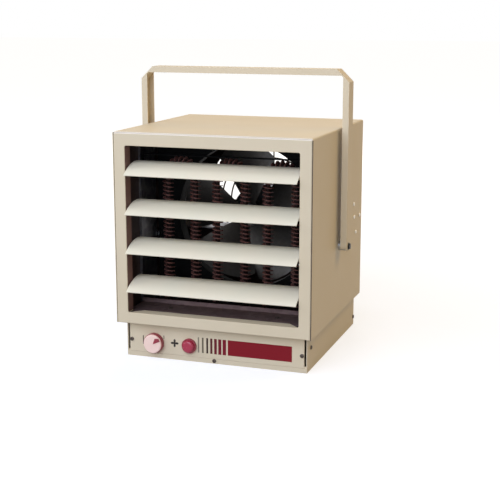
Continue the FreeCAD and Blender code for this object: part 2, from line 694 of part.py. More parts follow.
# Ceramic bushings in the base, and the terminal studs below the cold ends.
sheath_hole = d.tube_radius + d.screw_gap
bushings = []
studs = []
for index, x in enumerate(leg_places, start=1):
    name = f"bushing_{index}"
    neck = rod(f"{name}_neck", "Z", x, element_y, floor - d.bushing_drop, d.bushing_radius,
               d.bushing_drop + d.sheet)
    flange = rod(f"{name}_flange", "Z", x, element_y, base_top, d.bushing_flange_radius, d.bushing_flange)
    hole = rod(f"{name}_hole", "Z", x, element_y, floor - d.bushing_drop, sheath_hole,
               d.bushing_drop + d.sheet + d.bushing_flange)
    bushings.append(cut(name, fuse(f"{name}_body", [neck, flange]), hole))
    name = f"stud_{index}"
    stud_z = floor - d.cold_end - d.stud_length
    shank = rod(f"{name}_shank", "Z", x, element_y, stud_z, d.stud_radius, d.stud_length)
    nut = doc.addObject("Part::Prism", f"{name}_nut")
    bind(nut, "Circumradius", d.stud_nut_radius)
    bind(nut, "Height", d.stud_length / 3)
    place(nut, x, element_y, stud_z + d.stud_length / 3)
    studs.append(fuse(name, [shank, nut]))
piece(group("element_bushings", bushings))
piece(group("element_terminals", studs))

# Fan shroud: a bulkhead behind the pivot nuts, with a round opening for the fan.
shroud_y = pivot_y + d.nut_radius + 2.0
ring_radius = d.fan_radius + d.tip_gap
shroud = new_body("fan_shroud")
shroud_edge = rectangle(-nested, nested, base_top, nested_top)
extrude(shroud, "XZ", [shroud_edge, (0.0, fan_z, ring_radius)], shroud_y, shroud_y + d.sheet)
extrude(shroud, "XZ", [
    shroud_edge,
    rectangle(d.sheet - nested, nested - d.sheet, base_top + d.sheet, nested_top - d.sheet),
], shroud_y, shroud_y + d.shroud_flange)
round_pan(shroud)
piece(shroud)

# Shroud ring: a rolled hoop welded to the back of the bulkhead, in which the fan turns.
hoop = new_body("shroud_ring")
extrude(hoop, "XZ", [(0.0, fan_z, ring_radius + d.sheet), (0.0, fan_z, ring_radius)],
        shroud_y + d.sheet, shroud_y + d.shroud_ring)
piece(hoop)

# Over-heat switch on the front of the shroud, above the fan opening.
limit_x = shield_in - 3.0 * d.limit_radius
limit_z = nested_top - 4.0 * d.limit_radius
piece(fuse("limit_switch", [
    rod("limit_flange", "Y", limit_x, shroud_y - d.sheet, limit_z, 1.5 * d.limit_radius, d.sheet),
    rod("limit_body", "Y", limit_x, shroud_y - d.limit_height, limit_z, d.limit_radius, d.limit_height),
]))

# Fan: pressed blades, curved and twisted, on a turned hub.
hub_y = shroud_y + 8.0
hub_end = hub_y + d.hub_length
blade_y = hub_y + d.hub_length / 2


def blade_section(radius, chord, pitch):
    """A thin bowed strip square to the radius, leaning by the pitch angle."""
    lean = math.radians(pitch)
    along = FreeCAD.Vector(0, math.sin(lean), math.cos(lean))
    across = FreeCAD.Vector(0, -math.cos(lean), math.sin(lean))
    bow = chord / 12
    half = d.blade_sheet.value / 2
    spot = FreeCAD.Vector(radius, 0, 0)
    faces = []
    for offset in (half, -half):
        faces.append([spot + along * (share * chord / 2) + across * (bow * (1 - share * share) + offset - bow / 2)
                      for share in (-1.0, 0.0, 1.0)])
    upper, lower = faces
    return Part.Wire([
        Part.Arc(*upper).toShape(),
        Part.LineSegment(upper[2], lower[2]).toShape(),
        Part.Arc(*lower[::-1]).toShape(),
        Part.LineSegment(lower[0], upper[0]).toShape(),
    ])


axis_y = FreeCAD.Vector(0, 1, 0)
hub = Part.makeCylinder(d.hub_radius.value, d.hub_length.value,
                        FreeCAD.Vector(0, -d.hub_length.value / 2, 0), axis_y)
hub_edges = [edge for edge in hub.Edges if isinstance(edge.Curve, Part.Circle)]
hub = hub.makeFillet(d.hub_radius.value / 8, hub_edges)
sections = [
    blade_section(d.hub_radius.value * 0.8, d.blade_root.value, d.blade_root_pitch.value),
    blade_section((d.hub_radius.value + d.fan_radius.value) / 2, (d.blade_root.value + d.blade_tip.value) / 2,
                  (d.blade_root_pitch.value + d.blade_tip_pitch.value) / 2),
    blade_section(d.fan_radius.value + 1.0, d.blade_tip.value, d.blade_tip_pitch.value),
]
first_blade = Part.makeLoft(sections, True, False)
sweep_length = 4 * d.hub_length.value
sweep = Part.makeCylinder(d.fan_radius.value, sweep_length, FreeCAD.Vector(0, -sweep_length / 2, 0), axis_y)
first_blade = first_blade.common(sweep)
blades = []
blade_count = int(d.fan_blades.value)
for index in range(blade_count):
    copy = first_blade.copy()
    copy.rotate(FreeCAD.Vector(), axis_y, 360.0 * index / blade_count + d.fan_turn.value)
    blades.append(copy)
shaft_bore = Part.makeCylinder(d.shaft_radius.value + 0.02, d.hub_length.value,
                               FreeCAD.Vector(0, -d.hub_length.value / 2, 0), axis_y)
fan = doc.addObject("Part::Feature", "fan_rotor")
fan.Shape = hub.fuse(blades).cut(shaft_bore)
place(fan, 0.0, blade_y, fan_z)
piece(fan)

# Motor: a turned shell with a bearing boss at each end, and its shaft with the fan nut.
motor_y = hub_end + 10.0
motor_end = motor_y + d.motor_length
shaft_start = hub_y - 8.0
shaft_end = motor_y + 18.0
motor = new_body("fan_motor")
extrude(motor, "XZ", [(0.0, fan_z, d.motor_radius)], motor_y, motor_end)
round_edges(motor, d.motor_edge, lambda middle, along: True, Part.Circle)
extrude(motor, "XZ", [(0.0, fan_z, d.motor_boss_radius)], motor_y - d.motor_boss, motor_y + d.motor_edge)
extrude(motor, "XZ", [(0.0, fan_z, d.motor_boss_radius)], motor_end - d.motor_edge, motor_end + d.motor_boss)
extrude(motor, "XZ", [(0.0, fan_z, d.shaft_radius + d.running_gap)], motor_y - d.motor_boss,
        shaft_end + d.seam_gap, cut=True)
piece(motor)
piece(rod("motor_shaft", "Y", 0.0, shaft_start, fan_z, d.shaft_radius, shaft_end - shaft_start))
nut_body = new_body("fan_nut")
extrude(nut_body, "XZ", [
    [(2.0 * d.shaft_radius * math.cos(step * math.pi / 3),
      fan_z + 2.0 * d.shaft_radius * math.sin(step * math.pi / 3)) for step in range(6)],
    (0.0, fan_z, d.shaft_radius + 0.02),
], hub_y - 6.0, hub_y)
piece(nut_body)

# Motor cradle: a shelf under the motor whose end flanges are screwed to the side walls.
cradle_y0 = front + d.cradle_front
cradle_y1 = front + d.cradle_rear
shelf_top = fan_z - d.motor_radius
shelf_under = shelf_top - d.cradle_sheet
cradle = new_body("motor_cradle")
extrude(cradle, "XZ", [[
    (-nested, shelf_under + d.cradle_flange), (-nested, shelf_under), (nested, shelf_under),
    (nested, shelf_under + d.cradle_flange), (nested - d.cradle_sheet, shelf_under + d.cradle_flange),
    (nested - d.cradle_sheet, shelf_top), (d.cradle_sheet - nested, shelf_top),
    (d.cradle_sheet - nested, shelf_under + d.cradle_flange),
]], cradle_y0, cradle_y1)
extrude(cradle, "YZ", [(y, z, screw_hole) for y, z in cradle_spots], -nested, nested, cut=True)
strap_y = cradle_y0 + 4.0
strap_side = d.motor_radius + d.cradle_sheet
strap_screw_x = strap_side + d.strap_foot / 2
strap_screw_y = strap_y + d.strap_width / 2
extrude(cradle, "XY", [(side * strap_screw_x, strap_screw_y, screw_hole) for side in (-1, 1)],
        shelf_under, shelf_top, cut=True)
piece(cradle)
piece(group("cradle_screws", [
    screw(f"cradle_screw_{index}", "X", -side, side * wall, y, z, d.screw_length)
    for index, (side, (y, z)) in enumerate(mirrored(cradle_spots), start=1)
]))

# Strap: an arch over the motor with a foot on each side of it.
arch = fuse("strap_form", [
    rod("strap_arch", "Y", 0.0, strap_y, fan_z, strap_side, d.strap_width),
    block("strap_legs", -strap_side, strap_side, strap_y, strap_y + d.strap_width, shelf_top, fan_z),
    block("strap_feet", -strap_side - d.strap_foot, strap_side + d.strap_foot, strap_y,
          strap_y + d.strap_width, shelf_top, shelf_top + d.cradle_sheet),
])
strap_room = fuse("strap_room", [
    rod("strap_room_arch", "Y", 0.0, strap_y, fan_z, d.motor_radius, d.strap_width),
    block("strap_room_legs", -d.motor_radius, d.motor_radius, strap_y, strap_y + d.strap_width,
          shelf_under, fan_z),
    rod("strap_hole_left", "Z", -strap_screw_x, strap_screw_y, shelf_top, screw_hole, d.cradle_sheet),
    rod("strap_hole_right", "Z", strap_screw_x, strap_screw_y, shelf_top, screw_hole, d.cradle_sheet),
])
piece(cut("motor_strap", arch, strap_room))
piece(group("strap_screws", [
    screw(f"strap_screw_{index}", "Z", -1, side * strap_screw_x, strap_screw_y, shelf_top + d.cradle_sheet,
          d.screw_length)
    for index, side in enumerate((-1, 1), start=1)
]))

# Rear panel: a pan nested in the wrap, with the round intake.
guard_rim = d.intake_radius + d.guard_overlap
tab_screw = guard_rim + d.tab_length / 2
CORNERS = [(math.cos(angle), math.sin(angle)) for angle in (math.pi * (index + 0.5) / 2 for index in range(4))]
tab_spots = [(tab_screw * across, fan_z + tab_screw * up) for across, up in CORNERS]
rear_panel = new_body("rear_panel")
panel_edge = rectangle(-nested, nested, floor, nested_top)
extrude(rear_panel, "XZ", [panel_edge, (0.0, fan_z, d.intake_radius)], rear - d.sheet, rear)
extrude(rear_panel, "XZ", [
    panel_edge,
    rectangle(d.sheet - nested, nested - d.sheet, base_top, nested_top - d.sheet),
], rear - d.pan_flange, rear)
round_pan(rear_panel)
extrude(rear_panel, "XZ", [(x, z, screw_hole) for x, z in tab_spots], rear - d.sheet, rear, cut=True)
piece(rear_panel)

# Rear guard: wire rings on crossed wires, with four tabs screwed to the panel.
wire_y = rear + d.wire_radius
cross_y = wire_y + 1.6 * d.wire_radius
ring_count = 7
wires = []
for index in range(ring_count):
    ring = doc.addObject("Part::Torus", f"guard_ring_{index + 1}")
    bind(ring, "Radius1", guard_rim - index * d.guard_pitch)
    bind(ring, "Radius2", d.wire_radius)
    wires.append(place(ring, 0.0, wire_y, fan_z, "Y"))
for index, angle in enumerate((0.0, 45.0, 90.0, 135.0), start=1):
    across = math.cos(math.radians(angle))
    up = math.sin(math.radians(angle))
    wire = rod(f"guard_wire_{index}", "Z", -guard_rim * across, cross_y, fan_z - guard_rim * up,
               d.wire_radius, 2 * guard_rim)
    wire.Placement.Rotation = FreeCAD.Rotation(FreeCAD.Vector(0, 0, 1), FreeCAD.Vector(across, 0, up))
    wires.append(wire)
tab_holes = []
for index, (across, up) in enumerate(CORNERS, start=1):
    tab = doc.addObject("Part::Box", f"guard_tab_{index}")
    bind(tab, "Length", d.tab_length)
    bind(tab, "Width", d.wire_radius)
    bind(tab, "Height", d.tab_width)
    turn = math.degrees(math.atan2(up, across))
    place(tab, guard_rim * across + d.tab_width / 2 * up, rear, fan_z + guard_rim * up - d.tab_width / 2 * across)
    tab.Placement.Rotation = FreeCAD.Rotation(FreeCAD.Vector(0, 1, 0), -turn)
    wires.append(tab)
    tab_holes.append(rod(f"guard_hole_{index}", "Y", tab_screw * across, rear, fan_z + tab_screw * up,
                         screw_hole, d.wire_radius))
piece(cut("rear_guard", fuse("guard_form", wires), fuse("guard_holes", tab_holes)))
piece(group("guard_screws", [
    screw(f"guard_screw_{index}", "Y", -1, x, rear + d.wire_radius, z, d.screw_length)
    for index, (x, z) in enumerate(tab_spots, start=1)
]))

# Bracket: a channel bent over the casing with its open side inwards, cut from one solid band.
web_out = inner_wall + d.sheet + d.bracket_gap + d.bracket_flange
bar_top = ceiling + d.bracket_rise
leg_end = pivot_z - d.bracket_tail
CORNER_SHARE = math.tan(math.radians(22.5))


def bracket_line(depth):
    """Right half of the bracket's outline, moved inwards by a depth."""
    return [
        (web_out - depth, leg_end),
        (web_out - depth, bar_top - d.bracket_corner - CORNER_SHARE * depth),
        (web_out - d.bracket_corner - CORNER_SHARE * depth, bar_top - depth),
    ]


def flange_line():
    """Free edge of the flanges, which are notched at each corner down to the web."""
    notch = d.bracket_corner + math.sqrt(2.0) * d.bracket_sheet - d.bracket_flange
    return [
        (web_out - d.bracket_flange, leg_end),
        (web_out - d.bracket_flange, bar_top - notch),
        (web_out - notch, bar_top - d.bracket_flange),
    ]


def bracket_band(line, back):
    """A closed band between two such outlines, over both halves."""
    left = [(-x, z) for x, z in line]
    left_back = [(-x, z) for x, z in back]
    return left + line[::-1] + back + left_back[::-1]


channel_front = pivot_y - d.bracket_width / 2
channel_rear = pivot_y + d.bracket_width / 2
bracket = new_body("bracket")
extrude(bracket, "XZ", [bracket_band(bracket_line(sized(0.0)), flange_line())], channel_front, channel_rear)
round_edges(bracket, d.bracket_end_radius, lambda middle, along: abs(along.x) > 0.9
            and abs(middle.z - leg_end.value) < 0.01)
extrude(bracket, "XZ", [bracket_band(bracket_line(d.bracket_sheet), bracket_line(d.bracket_flange + 1.0))],
        channel_front + d.bracket_sheet, channel_rear - d.bracket_sheet, cut=True)
extrude(bracket, "YZ", [(pivot_y, pivot_z, d.pivot_radius + d.running_gap)], -web_out, web_out, cut=True)
extrude(bracket, "XY", [(side * d.bracket_hole_spacing / 2, pivot_y, d.bracket_hole_radius) for side in (-1, 1)],
        bar_top - d.bracket_sheet, bar_top, cut=True)
piece(bracket)

# Pivots: on each side a bolt through washer, bracket, spacer and wall into a weld nut.
washer_start = web_out + 0.2
head_start = washer_start + d.washer_thick
spacer_end = web_out - d.bracket_sheet - 0.2
bolt_end = inner_wall - d.nut_height
bolts = []
washers = []
spacers = []
nuts = []
clear_hole = d.pivot_radius + d.screw_gap
for side, hand in ((-1, "left"), (1, "right")):

    def span(near, far):
        """Start of a length between two distances from the middle, on this side."""
        return near if side > 0 else -far

    bolts.append(fuse(f"pivot_bolt_{hand}", [
        rod(f"pivot_shank_{hand}", "X", span(bolt_end, head_start), pivot_y, pivot_z, d.pivot_radius,
            head_start - bolt_end),
        rod(f"pivot_head_{hand}", "X", span(head_start, head_start + d.pivot_head), pivot_y, pivot_z,
            d.pivot_head_radius, d.pivot_head),
    ]))
    washers.append(tube(f"pivot_washer_{hand}", "X", span(washer_start, head_start), pivot_y, pivot_z,
                        d.washer_radius, clear_hole, d.washer_thick))
    spacers.append(tube(f"pivot_spacer_{hand}", "X", span(wall, spacer_end), pivot_y, pivot_z,
                        d.spacer_radius, clear_hole, spacer_end - wall))
    nuts.append(tube(f"pivot_nut_{hand}", "X", span(bolt_end, inner_wall), pivot_y, pivot_z,
                     d.nut_radius, clear_hole, d.nut_height))
piece(group("pivot_bolts", bolts))
piece(group("pivot_washers", washers))
piece(group("pivot_spacers", spacers))
piece(group("pivot_nuts", nuts))

# Control tray: a folded trough under the casing, with a front lip and stops for the cover.
box_front = front + d.control_setback
tray = new_body("control_tray")
extrude(tray, "XZ", [[
    (d.tray_flange - box_side, floor), (-box_side, floor), (-box_side, 0.0), (box_side, 0.0),
    (box_side, floor), (box_side - d.tray_flange, floor), (box_side - d.tray_flange, floor - d.sheet),
    (box_side - d.sheet, floor - d.sheet), (box_side - d.sheet, d.sheet), (d.sheet - box_side, d.sheet),
    (d.sheet - box_side, floor - d.sheet), (d.tray_flange - box_side, floor - d.sheet),
]], box_front, rear)
extrude(tray, "XZ", [rectangle(-box_side, box_side, 0.0, d.lip_height)], box_front, box_front + d.sheet)
stop_y = box_front + d.sheet
extrude(tray, "XZ", [
    rectangle(box_side - d.tray_stop, box_side, 0.0, floor), rectangle(-box_side, d.tray_stop - box_side, 0.0, floor),
], stop_y, stop_y + d.sheet)
cover_side = box_side - d.cover_inset
slot_near = cover_side + d.seam_gap
slot_far = box_side - d.sheet - d.seam_gap
slot_low = d.lip_height + d.slot_end
slot_high = floor - d.sheet - d.slot_end
extrude(tray, "XZ", [
    rectangle(slot_near, slot_far, slot_low, slot_high), rectangle(-slot_far, -slot_near, slot_low, slot_high),
], stop_y, stop_y + d.sheet, cut=True)
cover_spots = [(side * (cover_side - d.cover_screw_inset), d.cover_screw_height) for side in (-1, 1)]
hem_spot = (0.0 - d.sheet, d.lip_height * 0.6)
extrude(tray, "XZ", [(x, z, screw_hole) for x, z in cover_spots + [hem_spot]], box_front, stop_y + d.sheet, cut=True)
TRAY_SPOTS = ((box_front + 22.0, 38.0), (rear - d.pan_flange / 2, 15.0))
extrude(tray, "YZ", [(y, z, screw_hole) for y, z in TRAY_SPOTS], -box_side, box_side, cut=True)
piece(tray)
piece(group("tray_screws", [
    screw(f"tray_screw_{index}", "X", -side, side * box_side, y, sized(z), d.screw_length)
    for index, (side, (y, z)) in enumerate(mirrored(TRAY_SPOTS), start=1)
]))

# Control cover: the front panel, pierced for the thermostat shaft and the button, with a folded top.
bezel_bore = d.button_radius + d.button_gap
neck_radius = bezel_bore + d.bezel_neck
cover_top = floor - d.sheet - d.seam_gap
cover = new_body("control_cover")
extrude(cover, "XZ", [rectangle(-cover_side, cover_side, d.lip_height + d.seam_gap, cover_top)], box_front, stop_y)
fold_side = box_side - d.tray_stop - d.seam_gap
extrude(cover, "XZ", [rectangle(-fold_side, fold_side, cover_top - d.sheet, cover_top)], box_front,
        box_front + d.pan_flange)
cover_holes = [(x, z, screw_hole) for x, z in cover_spots]
cover_holes.append((knob_x, d.knob_height, d.knob_shaft_radius + d.seam_gap))
cover_holes.append((button_x, d.button_height, neck_radius + d.screw_gap))
extrude(cover, "XZ", cover_holes, box_front, stop_y, cut=True)
piece(cover)
piece(group("cover_screws", [
    screw(f"cover_screw_{index}", "Y", 1, x, box_front, sized(z), d.screw_length)
    for index, (x, z) in enumerate(cover_spots + [hem_spot], start=1)
]))

# Rear plate of the control box: a folded plate with the cable entry.
plate_side = box_side - d.sheet - d.seam_gap
back_plate = new_body("control_rear_plate")
extrude(back_plate, "XY", [[
    (-plate_side, rear - d.pan_flange), (-plate_side, rear), (plate_side, rear),
    (plate_side, rear - d.pan_flange), (plate_side - d.sheet, rear - d.pan_flange),
    (plate_side - d.sheet, rear - d.sheet), (d.sheet - plate_side, rear - d.sheet),
    (d.sheet - plate_side, rear - d.pan_flange),
]], d.sheet + d.seam_gap, floor - d.sheet - d.seam_gap)
extrude(back_plate, "XZ", [(cable_x, d.cable_height, d.cable_radius)], rear - d.sheet, rear, cut=True)
extrude(back_plate, "YZ", [(TRAY_SPOTS[1][0], TRAY_SPOTS[1][1], screw_hole)], -plate_side, plate_side, cut=True)
piece(back_plate)

# Thermostat: its body behind the cover, and the shaft that carries the knob.
knob_back = box_front - d.knob_gap
cap_back = knob_back - d.knob_skirt
cap_front = cap_back - d.knob_cap
shaft_reach = stop_y + d.thermostat_depth / 3
thermostat = new_body("thermostat_body")
extrude(thermostat, "XZ", [rectangle(
    knob_x - d.thermostat_width / 2, knob_x + d.thermostat_width / 2,
    d.knob_height - d.thermostat_height / 2, d.knob_height + d.thermostat_height / 2,
)], stop_y, stop_y + d.thermostat_depth)
extrude(thermostat, "XZ", [(knob_x, d.knob_height, d.knob_shaft_radius + d.running_gap)], stop_y,
        shaft_reach + d.seam_gap, cut=True)
piece(thermostat)
piece(rod("thermostat_shaft", "Y", knob_x, cap_back, d.knob_height, d.knob_shaft_radius, shaft_reach - cap_back))

# Knob: a red skirt on the shaft, a cream cap on it and a raised pointer on the cap.
skirt = new_body("knob_skirt")
extrude(skirt, "XZ", [(knob_x, d.knob_height, d.knob_radius)], cap_back, knob_back)
extrude(skirt, "XZ", [(knob_x, d.knob_height, d.knob_shaft_radius + 0.02)], cap_back, knob_back, cut=True)
piece(skirt)
cap = new_body("knob_cap")
extrude(cap, "XZ", [(knob_x, d.knob_height, d.knob_cap_radius)], cap_front, cap_back)
round_edges(cap, d.knob_cap / 2, lambda middle, along: abs(middle.y - cap_front.value) < 0.01, Part.Circle)
piece(cap)
POINTER = ((0.10, 0.02), (0.88, 0.36), (0.72, 0.66), (0.30, 0.62))
pointer = new_body("knob_pointer")
extrude(pointer, "XZ", [[(knob_x + d.knob_cap_radius * across, d.knob_height + d.knob_cap_radius * up)
                         for across, up in POINTER]], cap_front - 0.8, cap_front)
piece(pointer)

# Button: a bezel through the cover, a domed cap that slides in it and the switch behind.
bezel = new_body("button_bezel")
extrude(bezel, "XZ", [(button_x, d.button_height, d.bezel_radius), (button_x, d.button_height, bezel_bore)],
        box_front - d.bezel_proud, box_front)
extrude(bezel, "XZ", [(button_x, d.button_height, neck_radius), (button_x, d.button_height, bezel_bore)],
        box_front, box_front + d.bezel_reach)
piece(bezel)
button_front = box_front - d.button_proud
button_back = box_front + d.bezel_reach + 2.0
button = new_body("button_cap")
extrude(button, "XZ", [(button_x, d.button_height, d.button_radius)], button_front, button_back)
round_edges(button, d.button_radius * 0.4, lambda middle, along: abs(middle.y - button_front.value) < 0.01,
            Part.Circle)
piece(button)
switch = new_body("button_switch")
switch_front = box_front + d.bezel_reach
extrude(switch, "XZ", [rectangle(
    button_x - d.switch_width / 2, button_x + d.switch_width / 2,
    d.button_height - d.switch_width / 2 + d.seam_gap, d.button_height + d.switch_width / 2,
)], switch_front, switch_front + d.switch_depth)
extrude(switch, "XZ", [(button_x, d.button_height, bezel_bore)], switch_front,
        button_back + d.button_travel + d.seam_gap, cut=True)
piece(switch)

# Contactor: a stepped block on the tray, behind the elements' terminals.
contactor_y = element_y + d.contactor_back
contactor = new_body("contactor")
extrude(contactor, "YZ", [[
    (contactor_y, d.sheet), (contactor_y + d.contactor_depth, d.sheet),
    (contactor_y + d.contactor_depth, d.contactor_height * 0.6),
    (contactor_y + d.contactor_depth * 0.8, d.contactor_height * 0.6),
    (contactor_y + d.contactor_depth * 0.8, d.contactor_height),
    (contactor_y + d.contactor_depth * 0.2, d.contactor_height),
    (contactor_y + d.contactor_depth * 0.2, d.contactor_height * 0.6),
    (contactor_y, d.contactor_height * 0.6),
]], -d.contactor_width / 2, d.contactor_width / 2)
piece(contactor)

# Terminal block beside the cable entry, with a row of screw wells.
block_x = cable_x - d.block_width
block_y = rear - d.block_back
terminal = new_body("terminal_block")
extrude(terminal, "XY", [rectangle(block_x, block_x + d.block_width, block_y, block_y + d.block_depth)],
        d.sheet, d.sheet + d.block_height)
wells = [(block_x + d.block_width * (index + 0.5) / 4, block_y + d.block_depth / 2, d.pole_radius)
         for index in range(4)]
extrude(terminal, "XY", wells, d.sheet + d.block_height * 0.5, d.sheet + d.block_height, cut=True)
piece(terminal)

# Earth lug: a stud and nut on the tray.
lug_x = -box_side + 5.0 * d.lug_radius
lug_y = rear - 8.0 * d.lug_radius
lug_nut = doc.addObject("Part::Prism", "lug_nut")
bind(lug_nut, "Circumradius", d.lug_radius)
bind(lug_nut, "Height", d.lug_radius)
place(lug_nut, lug_x, lug_y, d.sheet)
piece(fuse("earth_lug", [
    lug_nut,
    rod("lug_stud", "Z", lug_x, lug_y, d.sheet, d.lug_radius / 2, 3.0 * d.lug_radius),
]))

doc.recompute()

# Every feature must have worked, and every cut must have taken something away.
for item in doc.Objects:
    if {"Invalid", "Error"} & set(item.State):
        raise RuntimeError(f"{item.Name} failed: {item.State}")
    if item.TypeId == "PartDesign::Pocket" and item.Shape.Volume >= item.BaseFeature.Shape.Volume - 1e-6:
        raise RuntimeError(f"{item.Name} cuts nothing")
for item in pieces:
    if item.Shape.isNull() or not item.Shape.isValid() or not item.Shape.Solids:
        raise RuntimeError(f"{item.Label} has no valid solid")

os.makedirs("parts", exist_ok=True)
for item in pieces:
    item.Shape.exportStep(f"parts/{item.Label}.step")
print(f"{len(pieces)} sub-parts")
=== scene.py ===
import math

import bmesh
import bpy
import mathutils
import numpy as np
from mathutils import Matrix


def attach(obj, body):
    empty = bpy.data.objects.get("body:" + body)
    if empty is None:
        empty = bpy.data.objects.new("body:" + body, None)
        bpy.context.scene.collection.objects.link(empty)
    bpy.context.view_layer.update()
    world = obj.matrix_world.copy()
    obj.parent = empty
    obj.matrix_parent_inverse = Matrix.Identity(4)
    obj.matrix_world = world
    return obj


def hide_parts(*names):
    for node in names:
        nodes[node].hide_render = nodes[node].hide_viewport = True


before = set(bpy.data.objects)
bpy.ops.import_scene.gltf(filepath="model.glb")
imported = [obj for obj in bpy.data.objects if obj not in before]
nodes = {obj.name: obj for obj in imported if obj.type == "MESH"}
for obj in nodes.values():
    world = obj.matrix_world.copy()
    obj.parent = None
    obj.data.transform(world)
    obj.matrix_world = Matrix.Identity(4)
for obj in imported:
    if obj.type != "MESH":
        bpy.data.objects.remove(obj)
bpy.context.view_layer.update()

# Casing and control box: steel sheet bent on a brake and spot welded, then sprayed with almond
# polyester powder and stoved to a faint orange peel. Inside the wrap a dark brown is painted
# shade. Along the wrap's front edge a dark strip at the right is painted shade, and a pale strip at
# the top is a painted highlight.
MM = 0.001
ALMOND = "dbccae"
ALMOND_DEEP = "d5c5a4"
TOP_EDGE_PAINTED_HIGHLIGHT = "fef3e0"
INSIDE_PAINTED_SHADE = "3a2c28"
RIGHT_EDGE_PAINTED_SHADE = "4a3c32"
PEEL_DEPTH = 0.3 * MM
SHEEN_SPREAD = 0.05


def linear(code):
    """An sRGB hex colour as linear RGBA: c/12.92 up to 0.04045, and ((c + 0.055)/1.055)^2.4 above."""
    share = np.array([int(code[i:i + 2], 16) for i in (0, 2, 4)]) / 255
    light = np.where(share <= 0.04045, share / 12.92, ((share + 0.055) / 1.055) ** 2.4)
    return (*light.tolist(), 1.0)


def add_node(finish, kind, inputs=None, **settings):
    """Adds a node: settings are its properties, and inputs gives a socket its value or its link."""
    node = finish.node_tree.nodes.new(kind)
    for name, value in settings.items():
        setattr(node, name, value)
    for name, value in (inputs or {}).items():
        if isinstance(value, bpy.types.NodeSocket):
            finish.node_tree.links.new(value, node.inputs[name])
        else:
            node.inputs[name].default_value = value
    return node


def new_finish(name):
    """An empty material, and the place of each point on the piece in metres."""
    finish = bpy.data.materials.new(name)
    finish.use_nodes = True
    finish.node_tree.nodes.clear()
    return finish, add_node(finish, "ShaderNodeTexCoord").outputs["Object"]


def enamel_finish(name, light, deep, mottle=90 * MM, peel=3 * MM, roughness=0.52, relief=0.10,
                  specular=0.25):
    """Stoved enamel: two close tones in soft patches, and a low rounded relief for the orange peel.

    The peel is drawn coarser than the real one, which is too fine to show.
    """
    finish, place = new_finish(name)
    patches = add_node(finish, "ShaderNodeTexNoise", {"Vector": place, "Scale": 1 / mottle, "Detail": 3.0})
    tone = add_node(finish, "ShaderNodeMix", {
        0: patches.outputs["Fac"], 6: linear(light), 7: linear(deep),
    }, data_type="RGBA")
    ripple = add_node(finish, "ShaderNodeTexNoise", {"Vector": place, "Scale": 1 / peel, "Detail": 1.0})
    sheen = add_node(finish, "ShaderNodeMapRange", {
        "Value": ripple.outputs["Fac"],
        "To Min": roughness - SHEEN_SPREAD, "To Max": roughness + SHEEN_SPREAD,
    })
    skin = add_node(finish, "ShaderNodeBump", {
        "Height": ripple.outputs["Fac"], "Strength": relief, "Distance": PEEL_DEPTH,
    })
    shader = add_node(finish, "ShaderNodeBsdfPrincipled", {
        "Base Color": tone.outputs[2], "Roughness": sheen.outputs["Result"],
        "Normal": skin.outputs["Normal"], "Specular IOR Level": specular,
    })
    add_node(finish, "ShaderNodeOutputMaterial", {"Surface": shader.outputs["BSDF"]})
    return finish


def dress(finish, *names):
    """Puts a finish into the material slots of the named CAD nodes."""
    for name in names:
        for place in nodes[name].material_slots:
            place.material = finish


def paint_light_and_shade(finish, code, across, back, up, both_sides=True):
    """Paints painted shade and highlight: a flat colour where X (|X| for both sides), Y and Z all lie within
    limits in millimetres.
    """
    tree = finish.node_tree
    shader = next(node for node in tree.nodes if node.type == "BSDF_PRINCIPLED")
    place = add_node(finish, "ShaderNodeTexCoord").outputs["Object"]
    spot = add_node(finish, "ShaderNodeSeparateXYZ", {0: place})
    reach = spot.outputs["X"]
    if both_sides:
        reach = add_node(finish, "ShaderNodeMath", {0: reach}, operation="ABSOLUTE").outputs[0]
    inside = [add_node(finish, "ShaderNodeMath", {
        0: value, 1: (low + high) / 2 * MM, 2: (high - low) / 2 * MM,
    }, operation="COMPARE").outputs[0] for value, (low, high) in (
        (reach, across), (spot.outputs["Y"], back), (spot.outputs["Z"], up))]
    share = inside[0]
    for other in inside[1:]:
        share = add_node(finish, "ShaderNodeMath", {0: share, 1: other}, operation="MULTIPLY").outputs[0]
    coat = shader.inputs["Base Color"].links[0].from_socket
    tone = add_node(finish, "ShaderNodeMix", {0: share, 6: coat, 7: linear(code)}, data_type="RGBA")
    tree.links.new(tone.outputs[2], shader.inputs["Base Color"])


WRAP_INSIDE = ((-1.0, 168.95), (-164.4, 164.4), (61.6, 381.95))
RIGHT_CUT_EDGE = ((168.7, 170.2), (-165.2, -164.7), (61.0, 380.0))
TOP_CUT_EDGE = ((-1.0, 171.0), (-165.2, -164.7), (381.9, 383.1))
almond_enamel = enamel_finish("almond_powder_enamel", ALMOND, ALMOND_DEEP)
dress(almond_enamel, "control_tray", "control_cover", "control_rear_plate")
casing_enamel = enamel_finish("almond_enamel_painted_shade_and_highlight", ALMOND, ALMOND_DEEP)
# Painted shade: a dark brown over the whole inside of the wrap.
paint_light_and_shade(casing_enamel, INSIDE_PAINTED_SHADE, *WRAP_INSIDE)
# Painted shade: a dark strip on the wrap's cut edge at the right front corner, along the seam.
paint_light_and_shade(casing_enamel, RIGHT_EDGE_PAINTED_SHADE, *RIGHT_CUT_EDGE, both_sides=False)
# Painted highlight: a pale strip along the wrap's top front edge.
paint_light_and_shade(casing_enamel, TOP_EDGE_PAINTED_HIGHLIGHT, *TOP_CUT_EDGE)
dress(casing_enamel, "casing_wrap", "casing_base", "rear_panel")

